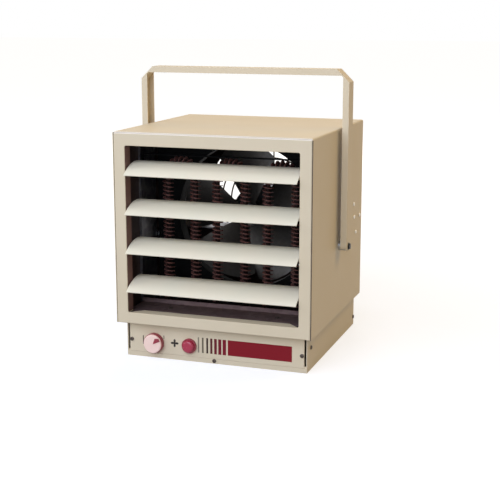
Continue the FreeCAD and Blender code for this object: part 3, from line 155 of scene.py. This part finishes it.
# Front frame: a pan pressed round the outlet and coated with the casing. Its upright returns are
# painted a dark brown as painted shade, and its top bend carries the same pale painted highlight as
# the wrap's edge.
RETURN_PAINTED_SHADE = "7d5d54"
UPRIGHT_RETURNS = ((148.9, 150.4), (-163.6, -140.0), (80.4, 360.2))
FRAME_TOP_BEND = ((-1.0, 169.0), (-165.2, -163.4), (380.1, 381.9))
frame_enamel = enamel_finish("frame_almond_enamel_painted_shade_and_highlight", ALMOND, ALMOND_DEEP)
# Painted shade: a dark brown on the inner faces of both upright returns.
paint_light_and_shade(frame_enamel, RETURN_PAINTED_SHADE, *UPRIGHT_RETURNS)
# Painted highlight: a pale strip along the frame's top bend.
paint_light_and_shade(frame_enamel, TOP_EDGE_PAINTED_HIGHLIGHT, *FRAME_TOP_BEND)
dress(frame_enamel, "front_frame")

# Louvers: four curved blades of the same sheet on steel pins, stoved in a paler ivory that takes a
# faint green from the primer below it. The coat is glossier than the casing's.
ivory_enamel = enamel_finish("ivory_stoved_enamel", "f1e4c9", "e7e3ca", mottle=60 * MM, roughness=0.4)
dress(ivory_enamel, *(f"louver_{number}" for number in (1, 2, 3, 4)))

# Inner sheets: shields, cradle and strap are bare hot-dip galvanised steel, whose zinc freezes in
# flat crystals about a centimetre across, each with its own gloss. Heat has dulled the zinc of the
# floor plate. The fan's shroud and ring are stoved in a matt black.
SPANGLE = 9 * MM
SPANGLE_SPREAD = 0.08


def zinc_sheet_finish(name, light, deep, roughness, metallic=1.0):
    """Galvanised sheet: each spangle, a Voronoi cell, gets its own tone and its own gloss."""
    finish, place = new_finish(name)
    crystals = add_node(finish, "ShaderNodeTexVoronoi", {"Vector": place, "Scale": 1 / SPANGLE})
    share = add_node(finish, "ShaderNodeSeparateColor", {"Color": crystals.outputs["Color"]})
    tone = add_node(finish, "ShaderNodeMix", {
        0: share.outputs["Red"], 6: linear(light), 7: linear(deep),
    }, data_type="RGBA")
    gloss = add_node(finish, "ShaderNodeMapRange", {
        "Value": share.outputs["Green"],
        "To Min": roughness - SPANGLE_SPREAD, "To Max": roughness + SPANGLE_SPREAD,
    })
    shader = add_node(finish, "ShaderNodeBsdfPrincipled", {
        "Base Color": tone.outputs[2], "Metallic": metallic, "Roughness": gloss.outputs["Result"],
    })
    add_node(finish, "ShaderNodeOutputMaterial", {"Surface": shader.outputs["BSDF"]})
    return finish


galvanised = zinc_sheet_finish("galvanised_sheet", "9b9a9c", "7f7d84", 0.42)
dress(galvanised, "side_shield_left", "side_shield_right", "top_shield", "motor_cradle", "motor_strap")
dulled_zinc = zinc_sheet_finish("dulled_zinc_sheet", "8c7673", "7a6463", 0.6, metallic=0.5)
dress(dulled_zinc, "floor_plate")
black_japan = enamel_finish("black_stoved_enamel", "161717", "111212", roughness=0.7, specular=0.1)
dress(black_japan, "fan_shroud", "shroud_ring")

# Heating elements: three hairpins of steel-sheathed element with a fin wound on edge round each.
# They have been run once at full heat, so the steel is a matt red brown that darkens in patches.
# The rail over their bends is stoved black.
TUBE_RADIUS = 4.25 * MM
TUBE_SIDES = 16
FIN_RADIUS = 9.5 * MM
FIN_SHEET = 1.2 * MM
FIN_PITCH = 7.0 * MM
FIN_LAP = 0.2 * MM
FIN_STOPS_PER_TURN = 18
LEG_REACH = 25.0 * MM
LEG_FOOT = 52.0 * MM
FIN_FOOT = 86.0 * MM
BEND_HEIGHT = 300.0 * MM
BEND_STOPS = 29
ELEMENT_Y = -65.0 * MM
ELEMENT_SPACING = 90 * MM
SCALE_PATCH = 14 * MM


def ring_faces(rows, columns):
    """Quads between neighbouring rings of a tube, with both end rings closed by one face each."""
    first = np.arange(rows - 1)[:, None] * columns
    column = np.arange(columns)[None, :]
    after = (column + 1) % columns
    sides = np.stack([first + column, first + after, first + columns + after, first + columns + column], -1)
    ends = [list(range(columns))[::-1], list(range((rows - 1) * columns, rows * columns))]
    return sides.reshape(-1, 4).tolist() + ends


def add_piece(name, shapes, finish, body, smooth=True):
    """Joins shapes, each an array of points with its faces, into one mesh piece that rides on a body."""
    points, faces, start = [], [], 0
    for spots, sides in shapes:
        spots = np.asarray(spots).reshape(-1, 3)
        points.append(spots)
        faces += [[start + corner for corner in side] for side in sides]
        start += len(spots)
    mesh = bpy.data.meshes.new(name)
    mesh.from_pydata(np.concatenate(points).tolist(), [], faces)
    shell = bmesh.new()
    shell.from_mesh(mesh)
    bmesh.ops.recalc_face_normals(shell, faces=shell.faces)
    shell.to_mesh(mesh)
    shell.free()
    mesh.polygons.foreach_set("use_smooth", np.full(len(mesh.polygons), smooth))
    mesh.materials.append(finish)
    piece = bpy.data.objects.new(name, mesh)
    bpy.context.scene.collection.objects.link(piece)
    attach(piece, body)
    return piece


def about_hairpin(centre_x, length, turn, radius, along=0.0):
    """Points at a radius and an angle about a hairpin's centre line, at a length from its foot.

    The line climbs one leg, goes round a half circle of the leg reach and comes down the other leg.
    Its outward normal turns from -X to +X on the way, and the binormal is +Y all along.
    """
    leg = BEND_HEIGHT - LEG_FOOT
    swing = np.clip((length - leg) / LEG_REACH, 0.0, math.pi)
    over = np.maximum(length - leg - math.pi * LEG_REACH, 0.0)
    rise = np.minimum(length, leg) - over
    out_x, out_z = -np.cos(swing), np.sin(swing)
    lift = radius * np.cos(turn)
    x = centre_x + out_x * (LEG_REACH + lift) + out_z * along
    y = ELEMENT_Y + radius * np.sin(turn)
    z = LEG_FOOT + rise + out_z * (LEG_REACH + lift) - out_x * along
    return np.stack(np.broadcast_arrays(x, y, z), -1)


def finned_hairpin(centre_x):
    """A sheath swept along the hairpin, and a flat strip wound round it as a helix of the fin pitch."""
    whole = 2 * (BEND_HEIGHT - LEG_FOOT) + math.pi * LEG_REACH
    bend = np.linspace(BEND_HEIGHT - LEG_FOOT, whole - BEND_HEIGHT + LEG_FOOT, BEND_STOPS)
    stops = np.concatenate([[0.0], bend, [whole]])[:, None]
    round_turn = np.linspace(0, 2 * math.pi, TUBE_SIDES, endpoint=False)[None, :]
    sheath = about_hairpin(centre_x, stops, round_turn, TUBE_RADIUS)
    bare = FIN_FOOT - LEG_FOOT
    turns = (whole - 2 * bare) / FIN_PITCH
    wound = np.linspace(bare, whole - bare, int(turns * FIN_STOPS_PER_TURN))[:, None]
    root = TUBE_RADIUS - FIN_LAP
    edge = np.array([root, FIN_RADIUS, FIN_RADIUS, root])[None, :]
    side = np.array([-0.5, -0.5, 0.5, 0.5])[None, :] * FIN_SHEET
    strip = about_hairpin(centre_x, wound, 2 * math.pi * wound / FIN_PITCH, edge, side)
    return (sheath, ring_faces(*sheath.shape[:2])), (strip, ring_faces(*strip.shape[:2]))


def scale_finish(name, light, deep):
    """Steel under a dry film of heat scale: two browns in patches about the size of a fin."""
    finish, place = new_finish(name)
    patches = add_node(finish, "ShaderNodeTexNoise", {
        "Vector": place, "Scale": 1 / SCALE_PATCH, "Detail": 4.0,
    })
    tone = add_node(finish, "ShaderNodeMix", {
        0: patches.outputs["Fac"], 6: linear(light), 7: linear(deep),
    }, data_type="RGBA")
    shader = add_node(finish, "ShaderNodeBsdfPrincipled", {
        "Base Color": tone.outputs[2], "Metallic": 0.3, "Roughness": 0.6, "Specular IOR Level": 0.2,
    })
    add_node(finish, "ShaderNodeOutputMaterial", {"Surface": shader.outputs["BSDF"]})
    return finish


# The sheath is coloured far darker than the fin: partly heat scale, partly painted shade between the fins.
sheath_painted_shade_steel = scale_finish("heat_scaled_sheath_painted_shade", "221816", "33211e")
fin_steel = scale_finish("heat_browned_fin", "6a4945", "8f645c")
for side, centre_x in (("left", -ELEMENT_SPACING), ("centre", 0.0), ("right", ELEMENT_SPACING)):
    sheath, strip = finned_hairpin(centre_x)
    tube = add_piece(f"element_sheath_{side}", [sheath], sheath_painted_shade_steel, "casing")
    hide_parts(f"heating_element_{side}")
    add_piece(f"element_fin_{side}", [strip], fin_steel, "casing", smooth=False)
dress(black_japan, "element_rail")

# Element ends and wiring parts: steatite bushings, pressed and fired to a matt off-white, brass studs
# and an earth lug, and switches, thermostat, contactor and terminal block in moulded black phenolic.


def plain_finish(name, light, deep, grain, roughness, metallic=0.0, spread=0.06, specular=0.5):
    """One material all through: two close tones and a gloss that wander together over a grain."""
    finish, place = new_finish(name)
    cloud = add_node(finish, "ShaderNodeTexNoise", {"Vector": place, "Scale": 1 / grain, "Detail": 4.0})
    tone = add_node(finish, "ShaderNodeMix", {
        0: cloud.outputs["Fac"], 6: linear(light), 7: linear(deep),
    }, data_type="RGBA")
    gloss = add_node(finish, "ShaderNodeMapRange", {
        "Value": cloud.outputs["Fac"], "To Min": roughness - spread, "To Max": roughness + spread,
    })
    shader = add_node(finish, "ShaderNodeBsdfPrincipled", {
        "Base Color": tone.outputs[2], "Metallic": metallic, "Roughness": gloss.outputs["Result"],
        "Specular IOR Level": specular,
    })
    add_node(finish, "ShaderNodeOutputMaterial", {"Surface": shader.outputs["BSDF"]})
    return finish


dress(plain_finish("fired_steatite", "e6e0d2", "d8d0c0", 2 * MM, 0.6), "element_bushings")
dress(plain_finish("turned_brass", "c9a55c", "b48d45", 3 * MM, 0.3, 1.0), "element_terminals", "earth_lug")
phenolic = plain_finish("black_phenolic", "26221f", "1b1816", 1.5 * MM, 0.42)
dress(phenolic, "limit_switch", "thermostat_body", "button_switch", "contactor", "terminal_block")

# Fan, motor and guard: five twisted blades pressed from aluminium sheet on a spun hub, a small
# shaded-pole motor in grey stoved enamel, and a welded wire guard, nickel plated, over the intake.
# The shaft and its nut, and the pins, nuts and spacers of the pivots, are bright zinc plate.
FAN_MIDDLE = (35 * MM, 222 * MM)
BLADE_SHEET = 1.6 * MM
BLADE_HALF = (math.radians(35.3), math.radians(30.5))
BLADE_ROOT = 20 * MM
BLADE_TIP = 123.6 * MM
TIP_ROUNDING = 9 * MM
ROOT_PITCH = 42
PITCH_FALL = 24
BLADE_ROWS = 22
BLADE_COLUMNS = 25
BLADE_COUNT = 5
FIRST_BLADE = -49
HUB_BORE = 4.1 * MM
HUB_FACE = 17 * MM
HUB_SHOULDER = 20.5 * MM
HUB_RADIUS = 22 * MM
HUB_HALF = 13 * MM
HUB_BARREL = 10 * MM
HUB_SIDES = 48
SHOULDER_DROP = 1.2 * MM


def turned(profile, count, middle, turn=0.0):
    """A profile of (radius, Y) pairs turned about a line along Y through a point in X and Z."""
    radius, y = np.asarray(profile, float).T[:, :, None]
    angle = turn + np.linspace(0, 2 * math.pi, count, endpoint=False)[None, :]
    x, z = middle[0] + radius * np.cos(angle), middle[1] + radius * np.sin(angle)
    return np.stack(np.broadcast_arrays(x, y, z), -1), ring_faces(len(profile), count)


def fan_blade(centre):
    """A twisted blade: along the arc t = r a the sheet leans back by t tan(p), p falling from hub to tip.

    It is bowed forwards by a twelfth of its chord, and its outer corners are rounded by a fourth power.
    """
    there = np.linspace(-1, 1, BLADE_COLUMNS)
    share = np.concatenate([there, np.linspace(1, -1, BLADE_COLUMNS)])[None, :]
    face = np.repeat([-0.5, 0.5], BLADE_COLUMNS)[None, :] * BLADE_SHEET
    out = np.linspace(0, 1, BLADE_ROWS)[:, None]
    radius = BLADE_ROOT + (BLADE_TIP - BLADE_ROOT - TIP_ROUNDING * share ** 4) * out
    pitch = np.radians(ROOT_PITCH - PITCH_FALL * out)
    half = BLADE_HALF[0] + (BLADE_HALF[1] - BLADE_HALF[0]) * out
    arc = radius * half * share
    bow = radius * half / 6 * (0.5 - share ** 2)
    y = FAN_MIDDLE[0] + arc * np.tan(pitch) - bow + face
    angle = centre + half * share
    x, z = radius * np.cos(angle), FAN_MIDDLE[1] + radius * np.sin(angle)
    points = np.stack(np.broadcast_arrays(x, y, z), -1)
    return points, ring_faces(*points.shape[:2])


hub_line = [
    (HUB_BORE, -HUB_HALF), (HUB_FACE, -HUB_HALF), (HUB_SHOULDER, -HUB_HALF + SHOULDER_DROP),
    (HUB_RADIUS, -HUB_BARREL), (HUB_RADIUS, HUB_BARREL),
    (HUB_SHOULDER, HUB_HALF - SHOULDER_DROP), (HUB_FACE, HUB_HALF), (HUB_BORE, HUB_HALF),
]
hub = turned([(radius, FAN_MIDDLE[0] + y) for radius, y in hub_line], HUB_SIDES, (0.0, FAN_MIDDLE[1]))
blade_turns = [math.radians(FIRST_BLADE - 360 / BLADE_COUNT * number) for number in range(BLADE_COUNT)]
blades = [fan_blade(turn) for turn in blade_turns]
rolled_aluminium = plain_finish("rolled_aluminium", "6b6864", "56534f", 6 * MM, 0.5, 1.0)
fan_wheel = add_piece("fan_wheel", blades + [hub], rolled_aluminium, "fan", smooth=False)
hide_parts("fan_rotor")
dress(enamel_finish("grey_stoved_enamel", "4b4e50", "434648", roughness=0.4), "fan_motor")
zinc_plate = plain_finish("bright_zinc_plate", "c3c4c2", "a9abac", 1.5 * MM, 0.28, 1.0)
dress(zinc_plate, "motor_shaft", "fan_nut", "louver_pins", "thermostat_shaft", "pivot_nuts", "pivot_spacers")
dress(plain_finish("nickel_plated_wire", "bdbab4", "a8a59f", 2 * MM, 0.25, 1.0), "rear_guard")

# Motor's stator and through bolts: a pack of steel stampings shows as a ribbed belt round the shell,
# and four hexagon nuts on the rear end hold the two halves of the shell together.
MOTOR_HEIGHT = 222.0 * MM
MOTOR_RADIUS = 42.0 * MM
MOTOR_REAR = 136.0 * MM
BELT_FRONT = 66 * MM
BELT_REAR = 96 * MM
BELT_EDGES = 61
BELT_SIDES = 72
BELT_SEAT = MOTOR_RADIUS - 0.4 * MM
RIB_LOW, RIB_HIGH = 0.9, 1.4
BOLT_CIRCLE = 32 * MM
NUT_LINE = ((4.2, -0.3), (4.2, 2.6), (3.6, 3.2))
NUT_SIDES = 6
NUT_TURN = 0.4
TAIL_LINE = ((2.0, 3.0), (2.0, 5.4), (1.5, 5.8))
TAIL_SIDES = 16
stations = np.linspace(BELT_FRONT, BELT_REAR, BELT_EDGES)
ribs = MOTOR_RADIUS + np.where(np.arange(BELT_EDGES) % 2 == 0, RIB_LOW, RIB_HIGH) * MM
belt = [(BELT_SEAT, stations[0]), *zip(ribs, stations), (BELT_SEAT, stations[-1])]
stamped_steel = plain_finish("stamped_motor_steel", "6a6c70", "55575b", 1.5 * MM, 0.45, 1.0)
stator = turned(belt, BELT_SIDES, (0.0, MOTOR_HEIGHT))
add_piece("motor_stator_belt", [stator], stamped_steel, "casing", smooth=False)
bolt_places = BOLT_CIRCLE * np.exp(1j * (math.pi / 4 + np.arange(4) * math.pi / 2))
nut = [(radius * MM, MOTOR_REAR + rise * MM) for radius, rise in NUT_LINE]
tail = [(radius * MM, MOTOR_REAR + rise * MM) for radius, rise in TAIL_LINE]
motor_nuts = []
for step, spot in enumerate(bolt_places):
    middle = (spot.real, MOTOR_HEIGHT + spot.imag)
    motor_nuts += [turned(nut, NUT_SIDES, middle, turn=NUT_TURN * step), turned(tail, TAIL_SIDES, middle)]
add_piece("motor_through_nuts", motor_nuts, zinc_plate, "casing", smooth=False)

# Sheet-metal screws: pan heads with a cross recess, cold headed from wire. Those of cover, tray and
# floor plate are a dark bronze that is partly painted shade round and in the heads; the cradle's are a
# pale polished zinc that is partly a painted glint; the rest are bright zinc plate. Each was driven
# until it sat, so the recesses lie at all angles.
HEAD_RADIUS = 3.4 * MM
HEAD_HEIGHT = 2.0 * MM
HEAD_SIDES = 48
HEAD_RINGS = np.concatenate([[0.1], np.linspace(0.25, 2.25, 9), [2.7, 3.1]]) * MM
DOME_FALL = 0.6 * MM
WALL_TOP = 1.2 * MM
SHANK_RADIUS = 1.9 * MM
SHANK_LENGTH = 7.0 * MM
ARM_HALF = 0.55 * MM
ARM_REACH = 1.8 * MM
RECESS = 1.2 * MM
FIRST_TURN = 0.35
TURN_STEP = 0.9


def pan_head(seat, out, across, turn):
    """A screw of revolution about its axis: h = height - fall (r/R)^4 over the dome, less the recess.

    The recess is a cross: points whose smaller offset from the arms is under half an arm's width and
    whose larger one is within the arm's reach. Below the rim come the wall, the seat and the shank.
    """
    radius = HEAD_RINGS[:, None]
    angle = np.linspace(0, 2 * math.pi, HEAD_SIDES, endpoint=False)[None, :]
    x, y = radius * np.cos(angle), radius * np.sin(angle)
    near, far = np.minimum(abs(x), abs(y)), np.maximum(abs(x), abs(y))
    dome = HEAD_HEIGHT - DOME_FALL * (radius / HEAD_RADIUS) ** 4
    high = np.where((near < ARM_HALF) & (far < ARM_REACH), dome - RECESS, dome)
    rim = np.array([
        (HEAD_RADIUS, WALL_TOP), (HEAD_RADIUS, 0.0), (SHANK_RADIUS, 0.0), (SHANK_RADIUS, -SHANK_LENGTH),
    ])
    x = np.concatenate([x, rim[:, :1] * np.cos(angle)])
    y = np.concatenate([y, rim[:, :1] * np.sin(angle)])
    high = np.concatenate([high, np.broadcast_to(rim[:, 1:], (len(rim), HEAD_SIDES))])
    up = np.cross(out, across)
    b = math.cos(turn) * np.asarray(across) + math.sin(turn) * up
    c = np.cross(out, b)
    points = np.asarray(seat) * MM + x[..., None] * b + y[..., None] * c + high[..., None] * np.asarray(out)
    return points, ring_faces(*points.shape[:2])


LEFT, RIGHT, FORE, AFT, UP = (-1, 0, 0), (1, 0, 0), (0, -1, 0), (0, 1, 0), (0, 0, 1)
SIDES = ((-1, LEFT), (1, RIGHT))
cradle_spots = ((103.5, 238.4), (108.2, 214.6), (121.4, 185.1), (148.7, 211.7))
tray_spots = ((-126.0, 38.0), (160.5, 15.0))
screw_sets = {
    "cover_screws": [((x, -148.0, z), FORE) for x, z in ((-150.5, 29.0), (150.5, 29.0), (-1.2, 4.8))],
    "cradle_screws": [((side * 170.0, y, z), out) for side, out in SIDES for y, z in cradle_spots],
    "tray_screws": [((side * 159.0, y, z), out) for side, out in SIDES for y, z in tray_spots],
    "floor_screws": [((x, -108.0, 77.0), UP) for x in (-95.5, 95.5)],
    "guard_screws": [((x, 166.6, z), AFT) for x in (-104.7, 104.7) for z in (117.3, 326.7)],
    "strap_screws": [((x, 110.0, 181.5), UP) for x in (-50.5, 50.5)],
}
# Partly a painted glint: the cradle screw heads are coloured pale to look lit.
polished_zinc_and_painted_glint = plain_finish("polished_zinc_and_painted_glint", "f0ece2", "e0dbd0", 1.5 * MM, 0.4, 0.6)
# Partly painted shade: the cover, tray and floor screw heads are coloured dark for the shade round them.
bronze_and_painted_shade = plain_finish("bronzed_steel_and_painted_shade", "5c5046", "463c34", 2 * MM, 0.45, 0.5)
plating = {
    "cover_screws": bronze_and_painted_shade, "tray_screws": bronze_and_painted_shade, "floor_screws": bronze_and_painted_shade, "cradle_screws": polished_zinc_and_painted_glint,
}
for name, spots in screw_sets.items():
    heads = [pan_head(seat, out, RIGHT if out[0] == 0 else AFT, TURN_STEP * step + FIRST_TURN)
             for step, (seat, out) in enumerate(spots)]
    plate = plating.get(name, zinc_plate)
    screws = add_piece(f"pan_head_{name}", heads, plate, "casing", smooth=False)
    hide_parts(name)

# Bracket: a channel of steel sheet bent into a U with its open side inwards, and stoved with the
# casing. It swings on two blackened bolts with washers, one in each side of the casing.
dress(almond_enamel, "bracket")
blackened = plain_finish("blackened_steel", "34322f", "24221f", 2 * MM, 0.42, 0.9)
dress(blackened, "pivot_bolts", "pivot_washers")

# Knob and button: moulded ABS with a smooth, slightly glossy skin, red for the skirt, the pointer and
# the bezel, cream for the knob's cap and crimson for the button. The knob is pushed on its shaft.
red_abs = plain_finish("red_moulded_abs", "9c2f3d", "8c2836", 4 * MM, 0.32)
dress(red_abs, "knob_skirt", "knob_pointer", "button_bezel")
dress(plain_finish("cream_moulded_abs", "fbdccb", "f4d0bd", 4 * MM, 0.3), "knob_cap")
dress(plain_finish("crimson_moulded_abs", "b22d46", "a0263d", 3 * MM, 0.26), "button_cap")

# Cover's print: one silk-screened layer of ink on the stoved cover, about a tenth of a millimetre
# thick: a bar led in by seven stripes, a four-lobed fan sign and the ticks round the knob.
COVER_FACE = -148.0 * MM
INK = 0.12 * MM
BAR_LOW, BAR_HIGH = 16.6, 43.0
BAR_LEFT, BAR_RIGHT = 22.8, 133.5
# Each stripe's middle and width in millimetres, and its ink.
STRIPES = (
    (-29.3, 2.4, "8f8672"), (-21.6, 2.9, "6d6350"), (-13.7, 3.2, "3b2c25"), (-6.4, 3.9, "5c2a2a"),
    (1.0, 4.7, "6d2029"), (8.6, 5.4, "771d29"), (16.6, 6.0, "7d1c29"),
)
SIGN_X, SIGN_Z = -72.4, 28.6
SIGN_RADIUS = 7.0
SIGN_POINTS = 96
TICKS = ((-130.4, -128.9, 22.0, 37.0), (-92.4, -91.2, 34.0, 40.0))


def ink_film(outline):
    """A flat outline in X and Z as a film: one ring on the cover, one an ink's thickness before it."""
    outline = np.asarray(outline) * MM
    rings = [np.stack([outline[:, 0], np.full(len(outline), y), outline[:, 1]], -1)
             for y in (COVER_FACE, COVER_FACE - INK)]
    return np.stack(rings), ring_faces(2, len(outline))


def ink_box(left, right, low, high):
    """The outline of an upright rectangle."""
    return [(left, low), (right, low), (right, high), (left, high)]


def ink_finish(name, code):
    """Screen ink in its own tone, and a tenth deeper where the squeegee left the film thicker."""
    deep = "".join(f"{int(code[i:i + 2], 16) * 9 // 10:02x}" for i in (0, 2, 4))
    return plain_finish(name, code, deep, 2 * MM, 0.55, specular=0.15)


maroon_ink = ink_finish("maroon_screen_ink", "871822")
add_piece("cover_bar", [ink_film(ink_box(BAR_LEFT, BAR_RIGHT, BAR_LOW, BAR_HIGH))], maroon_ink, "casing",
          smooth=False)
for number, (middle, width, code) in enumerate(STRIPES, 1):
    stripe = ink_box(middle - width / 2, middle + width / 2, BAR_LOW, BAR_HIGH)
    add_piece(f"cover_stripe_{number}", [ink_film(stripe)], ink_finish(f"stripe_{number}_screen_ink", code),
              "casing", smooth=False)
# The sign's outline is r = R (0.30 + 0.70 |cos 2a|^1.6), which gives four lobes.
round_sign = np.linspace(0, 2 * math.pi, SIGN_POINTS, endpoint=False)
lobe = SIGN_RADIUS * (0.30 + 0.70 * np.abs(np.cos(2 * round_sign)) ** 1.6)
sign = np.stack([SIGN_X + lobe * np.cos(round_sign), SIGN_Z + lobe * np.sin(round_sign)], -1)
dark_ink = ink_finish("brown_black_screen_ink", "3a342e")
add_piece("fan_sign", [ink_film(sign)], dark_ink, "casing", smooth=False)
add_piece("dial_ticks", [ink_film(ink_box(*tick)) for tick in TICKS], dark_ink, "casing",
          smooth=False)

# Studio: a pale paper floor that runs out of sight, white air, and five soft area lamps: a large one
# high in front, one overhead, one at the left, a warm one high at the rear right and one behind.
FLOOR_HALF = 20.0
FADE_NEAR, FADE_FAR = 0.4, 3.0
GLOW_NEAR, GLOW_FAR = 0.67, 0.90
FILL_LEVEL = 0.25
MIDDLE = (0.0, 0.0, 0.22)
# Each lamp's name, place and width in metres, level and colour.
LAMPS = (
    ("front_softbox", (-0.3, -2.95, 1.8), 3.1, 0.99, "dbe6ff"),
    ("top_softbox", (0.0, -0.55, 3.0), 0.5, 0.10, "e2ebff"),
    ("left_softbox", (-2.8, -0.9, 1.4), 1.6, 0.32, "e4ecff"),
    ("right_softbox", (1.9, 1.1, 2.7), 1.2, 0.28, "ffd27c"),
    ("rear_softbox", (-0.6, 3.0, 1.3), 1.8, 0.32, "fff2e0"),
)


def seen_rays(owner):
    """1 for the rays that see the background: camera, glossy and transmission rays."""
    ray = add_node(owner, "ShaderNodeLightPath")
    seen = ray.outputs["Is Camera Ray"]
    for other in ("Is Glossy Ray", "Is Transmission Ray"):
        either = {0: seen, 1: ray.outputs[other]}
        seen = add_node(owner, "ShaderNodeMath", either, operation="MAXIMUM").outputs[0]
    return seen


corners = ((-1, -1), (1, -1), (1, 1), (-1, 1))
floor_mesh = bpy.data.meshes.new("paper_floor")
floor_mesh.from_pydata([(x * FLOOR_HALF, y * FLOOR_HALF, 0.0) for x, y in corners], [], [(0, 1, 2, 3)])
floor = bpy.data.objects.new("paper_floor", floor_mesh)
bpy.context.scene.collection.objects.link(floor)
paper, place = new_finish("white_paper")
away = add_node(paper, "ShaderNodeVectorMath", {0: place}, operation="LENGTH")
fade = add_node(paper, "ShaderNodeMapRange", {
    "Value": away.outputs["Value"], "From Min": FADE_NEAR, "From Max": FADE_FAR,
    "To Min": GLOW_NEAR, "To Max": GLOW_FAR,
})
glow = add_node(paper, "ShaderNodeMath", {
    0: seen_rays(paper), 1: fade.outputs["Result"],
}, operation="MULTIPLY")
shader = add_node(paper, "ShaderNodeBsdfPrincipled", {
    "Base Color": linear("adb0b6"), "Roughness": 0.9, "Specular IOR Level": 0.0,
    "Emission Color": linear("ffffff"), "Emission Strength": glow.outputs[0],
})
add_node(paper, "ShaderNodeOutputMaterial", {"Surface": shader.outputs["BSDF"]})
floor_mesh.materials.append(paper)

world = bpy.data.worlds.new("studio_air")
bpy.context.scene.world = world
world.use_nodes = True
world.node_tree.nodes.clear()
fill = add_node(world, "ShaderNodeBackground", {"Color": linear("ffefd4"), "Strength": FILL_LEVEL})
white = add_node(world, "ShaderNodeBackground", {"Color": linear("ffffff"), "Strength": 1.0})
air = add_node(world, "ShaderNodeMixShader", {
    0: seen_rays(world), 1: fill.outputs["Background"], 2: white.outputs["Background"],
})
add_node(world, "ShaderNodeOutputWorld", {"Surface": air.outputs["Shader"]})


def add_lamp(name, spot, size, level, colour):
    """A square area lamp; at the middle a matt face turned to it shows its own colour times the level."""
    data = bpy.data.lights.new(name, "AREA")
    reach = np.subtract(MIDDLE, spot)
    data.shape = "SQUARE"
    data.size = size
    data.energy = level * math.pi ** 2 * float(reach @ reach)
    data.color = linear(colour)[:3]
    lamp = bpy.data.objects.new(name, data)
    lamp.location = spot
    lamp.rotation_mode = "QUATERNION"
    lamp.rotation_quaternion = mathutils.Vector(reach).to_track_quat("-Z", "Y")
    bpy.context.scene.collection.objects.link(lamp)
    return lamp


lamps = {lamp[0]: add_lamp(*lamp) for lamp in LAMPS}
lamps["rear_softbox"].visible_glossy = False

# Camera: a long lens two metres off, to the right of the heater's front and a little above it. It is
# tipped down and turned by degrees, and has no shift.
CAMERA_PLACE = (0.6347, -1.8151, 0.5758)
CAMERA_DIP = 12.017
CAMERA_TURN = 18.973
LENS = 80.57
SENSOR = 36.0
camera_data = bpy.data.cameras.new("camera")
camera_data.lens = LENS
camera_data.sensor_width = SENSOR
camera = bpy.data.objects.new("camera", camera_data)
camera.location = CAMERA_PLACE
camera.rotation_euler = (math.radians(90 - CAMERA_DIP), 0.0, math.radians(CAMERA_TURN))
bpy.context.scene.collection.objects.link(camera)
bpy.context.scene.camera = camera
bpy.context.scene.view_settings.view_transform = "Standard"
